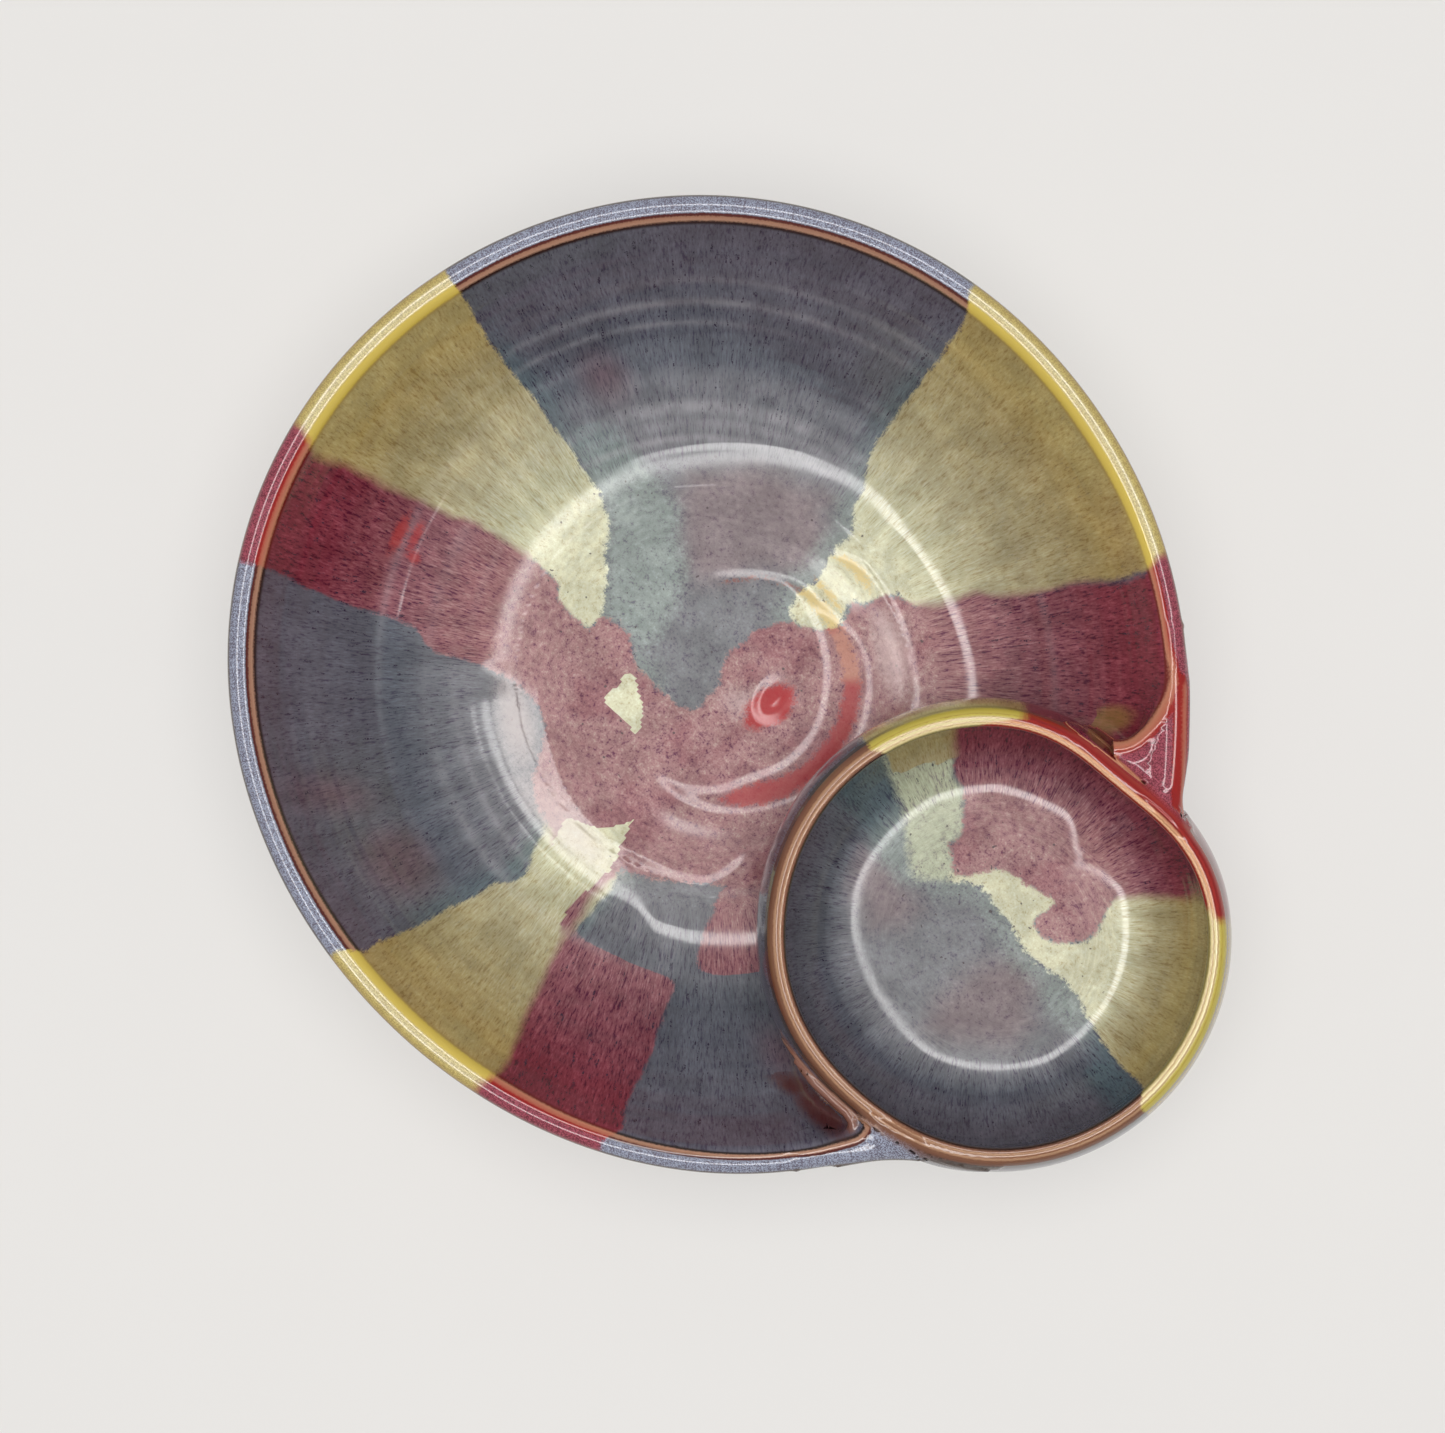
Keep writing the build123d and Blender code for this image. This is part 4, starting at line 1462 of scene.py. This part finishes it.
def with_marks(n, v, colour):
    """Painted reflections and highlights, specks, pits and the marks of the fingers."""
    # Painted reflection: the pale sheen over the finger rings' bands.
    painted_sheen = n.times(n.attribute("painted_sheen"), n.span(v.cloud, 0.35, 0.6, 0.5, 1.0))
    colour = n.blend(n.times(painted_sheen, n.total(0.34, n.times(v.in_straw, -0.18))), colour, PAINTED_SHEEN_COLOUR)
    slit = n.noise(v.flow, 1.05, 1.0)
    speck_amount = n.span(v.pool, 1.05, 0.45, 0.15, 0.95)
    specks = n.times(n.span(slit, 0.63, 0.70), n.span(v.grain, 0.44, 0.58), speck_amount)
    fewer = n.math("SUBTRACT", 1.0, n.times(v.in_straw, 0.75))
    colour = n.blend(n.times(specks, fewer), colour, SPECK)
    pits = n.span(n.noise(v.place, 800.0, 0.0), 0.82, 0.85)
    colour = n.blend(n.times(pits, v.on_floor, 0.8), colour, PIT)
    # Painted highlight: pale glare where the floor's slopes would catch the lamps.
    colour = n.blend(n.times(cover(n, v, "pale", 3.5), 0.42), colour, PAINTED_GLARE)

    torn = n.total(n.attribute("crest"), n.swing(v.grain, 1.4), n.swing(v.curdle, 3.0))
    breaks = n.span(torn, -0.6, 1.4)
    warm = n.span(n.attribute("warm"), -6.0, 4.0)
    crest = by_glaze(n, v, SLATE_BREAK, STRAW_BREAK, n.blend(warm, PLUM_BREAK, WARM_BREAK))
    colour = n.blend(n.times(breaks, 0.78), colour, crest)
    pressed = n.total(n.attribute("button"), n.swing(v.curdle, 2.4), n.swing(v.grain, 1.2))
    colour = n.blend(n.times(n.span(pressed, -0.8, 1.6), 0.92), colour, KNOB_RED)
    return n.blend(n.times(cover(n, v, "rust", 0.8), 0.7), colour, RUST)


def with_rims(n, v, colour):
    """The two rims, where the glaze is speckled, breaks to bands of other colours and shows turning lines."""
    across = n.times(n.total(v.rim, RIM_BEFORE, n.swing(v.grain, 0.3)), 1.0 / RIM_SPAN)

    def rim_colours(*glazes):
        places = [[((at + RIM_BEFORE) / RIM_SPAN, tone) for at, tone in stops] for stops in glazes]
        return by_glaze(n, v, *(n.ramp(across, stops) for stops in places))

    speckle = n.total(n.times(n.noise(v.place, 2600.0, 1.0), 0.7), n.times(v.fine_hair, 0.3))
    dots = n.blend(n.span(speckle, 0.40, 0.60), *RIM_DOTS)
    dots = n.blend(n.times(v.in_straw, 0.6), dots, (1.0, 1.0, 1.0))
    bowl_rim = rim_colours(SLATE_RIM, STRAW_RIM, PLUM_RIM)
    speckled = n.times(n.span(v.rim, 0.2, 0.6), n.span(v.rim, SPECKLED, SPECKLED - 0.4))
    bowl_rim = n.blend(speckled, bowl_rim, n.blend(1.0, bowl_rim, dots, "MULTIPLY"))
    dip_rim = rim_colours(SLATE_DIP_RIM, STRAW_DIP_RIM, PLUM_DIP_RIM)
    lines = n.math("SINE", n.times(n.total(v.rim, n.swing(v.broad_hair, 0.5)), 2 * math.pi / LINE_PITCH))
    fine_lines = n.times(n.span(lines, -0.1, 0.8), n.span(v.rim, 1.8, 2.8), n.span(v.rim, 6.8, 6.2), 0.7)
    dip_rim = n.blend(fine_lines, dip_rim, n.blend(1.0, dip_rim, RIM_LINES, "MULTIPLY"))
    return n.blend(v.on_rim, colour, n.blend(n.attribute("dip"), bowl_rim, dip_rim))


def with_joints(n, v, colour):
    """The bead, the marks beside the webs and the dark glaze pooled in the grooves."""
    colour = n.blend(n.times(n.attribute("bead"), 0.9), colour, BEAD_BROWN)
    colour = n.blend(n.times(cover(n, v, "gold", 1.6), 0.55), colour, GOLD)
    colour = n.blend(n.times(cover(n, v, "dark", 1.8), 0.85), colour, DARK)
    pooled = n.span(n.attribute("bend"), -0.50, -0.95)
    return n.blend(n.times(pooled, 0.75), colour, POOLED)


def with_bare_clay(n, v, colour):
    """The bare feet, with a brown line where the glaze stops."""
    bare_edge = n.span(n.attribute("bare"), -1.4, -0.1)
    colour = n.blend(n.times(bare_edge, 0.7), colour, CLAY_EDGE)
    clay = n.blend(n.span(v.grain, 0.35, 0.65), BARE_CLAY, DARK_CLAY)
    return n.blend(v.bare, colour, clay)


def glaze_material():
    """Flowing glazes over stoneware: soft runs, fine hairs and specks under a clear glossy coat."""
    material = bpy.data.materials.new("flowing_glaze")
    n = Nodes(material)
    v = shared_values(n)
    colour = glaze_colours(n, v)
    for layer in (with_hairs, with_marks, with_rims, with_joints, with_bare_clay):
        colour = layer(n, v, colour)

    shader = n.add("ShaderNodeBsdfPrincipled")
    n.link(colour, shader.inputs["Base Color"])
    gloss = n.span(v.cloud, 0.3, 0.7, 0.10, 0.15)
    gloss = n.total(gloss, n.times(v.on_floor, 0.055), n.times(v.on_rim, -0.03), n.times(v.bare, 0.60))
    n.link(gloss, shader.inputs["Roughness"])
    shader.inputs["IOR"].default_value = GLAZE_IOR
    bump = n.add("ShaderNodeBump")
    bump.inputs["Strength"].default_value = 0.10
    bump.inputs["Distance"].default_value = 0.0006
    relief = n.total(n.times(v.cloud, 0.4), n.times(v.fine_hair, 0.12), n.times(v.bare, v.grain, 3.0))
    n.link(relief, bump.inputs["Height"])
    n.link(bump.outputs["Normal"], shader.inputs["Normal"])
    n.finish(shader.outputs["BSDF"])
    return material


# ---------------------------------------------------------------- pieces

REGION_NAMES = ("chip_bowl", "dip_bowl", "wide_rim_web", "narrow_rim_web", "inner_seam", "outer_seam")


def drop_scraps(vertices, quads):
    """Keeps the largest connected part of a mesh."""
    label = np.arange(len(vertices))
    while True:
        low = label[quads].min(axis=1)
        new = label.copy()
        for corner in range(4):
            np.minimum.at(new, quads[:, corner], low)
        new = new[new]
        if (new == label).all():
            break
        label = new
    names, counts = np.unique(label, return_counts=True)
    keep = label == names[counts.argmax()]
    number = np.cumsum(keep) - 1
    return vertices[keep], number[quads[keep[quads].all(axis=1)]]


def make_piece(name, lattice, pot, material):
    """One closed glazed piece, cut from the pot by its region."""

    def region(points):
        return region_fields(points)[name]

    cut = np.maximum(pot, in_chunks(region, lattice.points))
    vertices, quads = surface_net(lattice, lattice.spread(cut))
    vertices, quads = drop_scraps(vertices, quads)
    vertices = settle(vertices, region, lattice.cell)
    normals = make_normals(vertices, quads)

    mesh = bpy.data.meshes.new(name + "_glazed")
    mesh.from_pydata((vertices * MM).tolist(), [], quads.tolist())
    attributes, flow = glaze_attributes(vertices)
    for key, values in attributes.items():
        layer = mesh.attributes.new(key, "FLOAT", "POINT")
        layer.data.foreach_set("value", values.astype(np.float32))
    layer = mesh.attributes.new("flow", "FLOAT_VECTOR", "POINT")
    layer.data.foreach_set("vector", flow.astype(np.float32).ravel())
    mesh.shade_smooth()
    mesh.normals_split_custom_set(normals.reshape(-1, 3).tolist())
    mesh.materials.append(material)
    piece = bpy.data.objects.new(name + "_glazed", mesh)
    bpy.context.scene.collection.objects.link(piece)
    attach(piece, "root")
    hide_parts(name)


def make_pot():
    """All six pieces."""
    material = glaze_material()
    margin = 4.0
    low = np.array([bowl_low[0] - margin, bowl_low[1] - margin, -margin])
    high = np.array([dip_high[0] + margin, bowl_high[1] + margin, dip_high[2] + margin])
    lattice = Lattice(low, high, CELL)
    pot = in_chunks(pot_field, lattice.points)
    for name in REGION_NAMES:
        make_piece(name, lattice, pot, material)


# ---------------------------------------------------------------- stage, light and camera

# In metres: the camera looks straight down at its aim, and the lamps hang round it.
CAMERA_HEIGHT = 1.28
CAMERA_AIM = (0.00795, -0.00514)
CAMERA_ROLL = math.radians(41.8)
VIEW_WIDTH = 0.3974
RING_RADIUS = 0.53
RING_WIDTH = 0.20
RING_HEIGHT = 1.30
DIFFUSER_RADIUS = 0.38
RING_STRENGTH = 8.2
DIFFUSER_STRENGTH = 9.6
ROOM_STRENGTH = 0.36
BOARD_HALF_WIDTH = 3.0
BOARD_COLOUR = (0.270, 0.264, 0.257)
BOARD_ROUGHNESS = 0.7
BOARD_GLOW = 1.95
LAMP_COLOUR = (1.0, 0.99, 0.975, 1.0)
ROOM_COLOUR = (0.98, 0.99, 1.0, 1.0)
SENSOR_WIDTH = 36.0


def board_material():
    """A plain pale board, lit a little from beneath."""
    material = bpy.data.materials.new("pale_board")
    n = Nodes(material)
    shader = n.add("ShaderNodeBsdfPrincipled")
    position = n.add("ShaderNodeTexCoord").outputs["Object"]
    tone = n.span(n.noise(position, 18.0, 3.0), 0.3, 0.7)
    darker = tuple(c * 0.985 for c in BOARD_COLOUR)
    n.link(n.blend(tone, BOARD_COLOUR, darker), shader.inputs["Base Color"])
    shader.inputs["Roughness"].default_value = BOARD_ROUGHNESS
    shader.inputs["Specular IOR Level"].default_value = 0.2
    shader.inputs["Emission Color"].default_value = (*BOARD_COLOUR, 1.0)
    shader.inputs["Emission Strength"].default_value = BOARD_GLOW
    n.finish(shader.outputs["BSDF"])
    return material


def make_floor():
    """The board that the pot stands on."""
    mesh = bpy.data.meshes.new("floor")
    half = BOARD_HALF_WIDTH
    corners = [(-half, -half, 0), (half, -half, 0), (half, half, 0), (-half, half, 0)]
    mesh.from_pydata(corners, [], [(0, 1, 2, 3)])
    mesh.materials.append(board_material())
    floor = bpy.data.objects.new("floor", mesh)
    bpy.context.scene.collection.objects.link(floor)


def make_lamp(name, corners, faces, strength):
    """A glowing shape overhead that the camera does not see."""
    mesh = bpy.data.meshes.new(name)
    mesh.from_pydata([(CAMERA_AIM[0] + x, CAMERA_AIM[1] + y, RING_HEIGHT) for x, y in corners], [], faces)
    material = bpy.data.materials.new(name)
    n = Nodes(material)
    glow = n.add("ShaderNodeEmission")
    glow.inputs["Color"].default_value = LAMP_COLOUR
    glow.inputs["Strength"].default_value = strength
    n.finish(glow.outputs["Emission"])
    mesh.materials.append(material)
    lamp = bpy.data.objects.new(name, mesh)
    lamp.visible_camera = False
    bpy.context.scene.collection.objects.link(lamp)
    return lamp


def circle(radius, count):
    """Points evenly round a circle."""
    turns = [2 * math.pi * index / count for index in range(count)]
    return [(radius * math.cos(turn), radius * math.sin(turn)) for turn in turns]


def make_lamps():
    """A round tube about the camera, which draws the highlights, and a soft box that lights the pot."""
    count = 96
    corners = circle(RING_RADIUS - RING_WIDTH / 2, count) + circle(RING_RADIUS + RING_WIDTH / 2, count)
    faces = [(i, (i + 1) % count, (i + 1) % count + count, i + count) for i in range(count)]
    ring = make_lamp("ring_light", corners, faces, RING_STRENGTH)
    ring.visible_diffuse = False
    soft_box = make_lamp("soft_box", circle(DIFFUSER_RADIUS, count), [tuple(range(count))], DIFFUSER_STRENGTH)
    soft_box.visible_glossy = False


def make_world():
    """Even light from the room."""
    world = bpy.data.worlds.new("soft_room")
    world.use_nodes = True
    background = world.node_tree.nodes["Background"]
    background.inputs["Color"].default_value = ROOM_COLOUR
    background.inputs["Strength"].default_value = ROOM_STRENGTH
    bpy.context.scene.world = world


def make_camera():
    """A long lens straight above the pot, turned so that the dip bowl is at the lower right."""
    data = bpy.data.cameras.new("camera")
    data.sensor_width = SENSOR_WIDTH
    above_rim = CAMERA_HEIGHT - RIM_HEIGHT * MM
    data.lens = SENSOR_WIDTH * above_rim / VIEW_WIDTH
    camera = bpy.data.objects.new("camera", data)
    camera.location = (*CAMERA_AIM, CAMERA_HEIGHT)
    camera.rotation_euler = (0.0, 0.0, CAMERA_ROLL)
    bpy.context.scene.collection.objects.link(camera)
    bpy.context.scene.camera = camera


make_camera()
make_world()
make_floor()
make_lamps()
make_pot()
bpy.context.scene.view_settings.view_transform = "Standard"
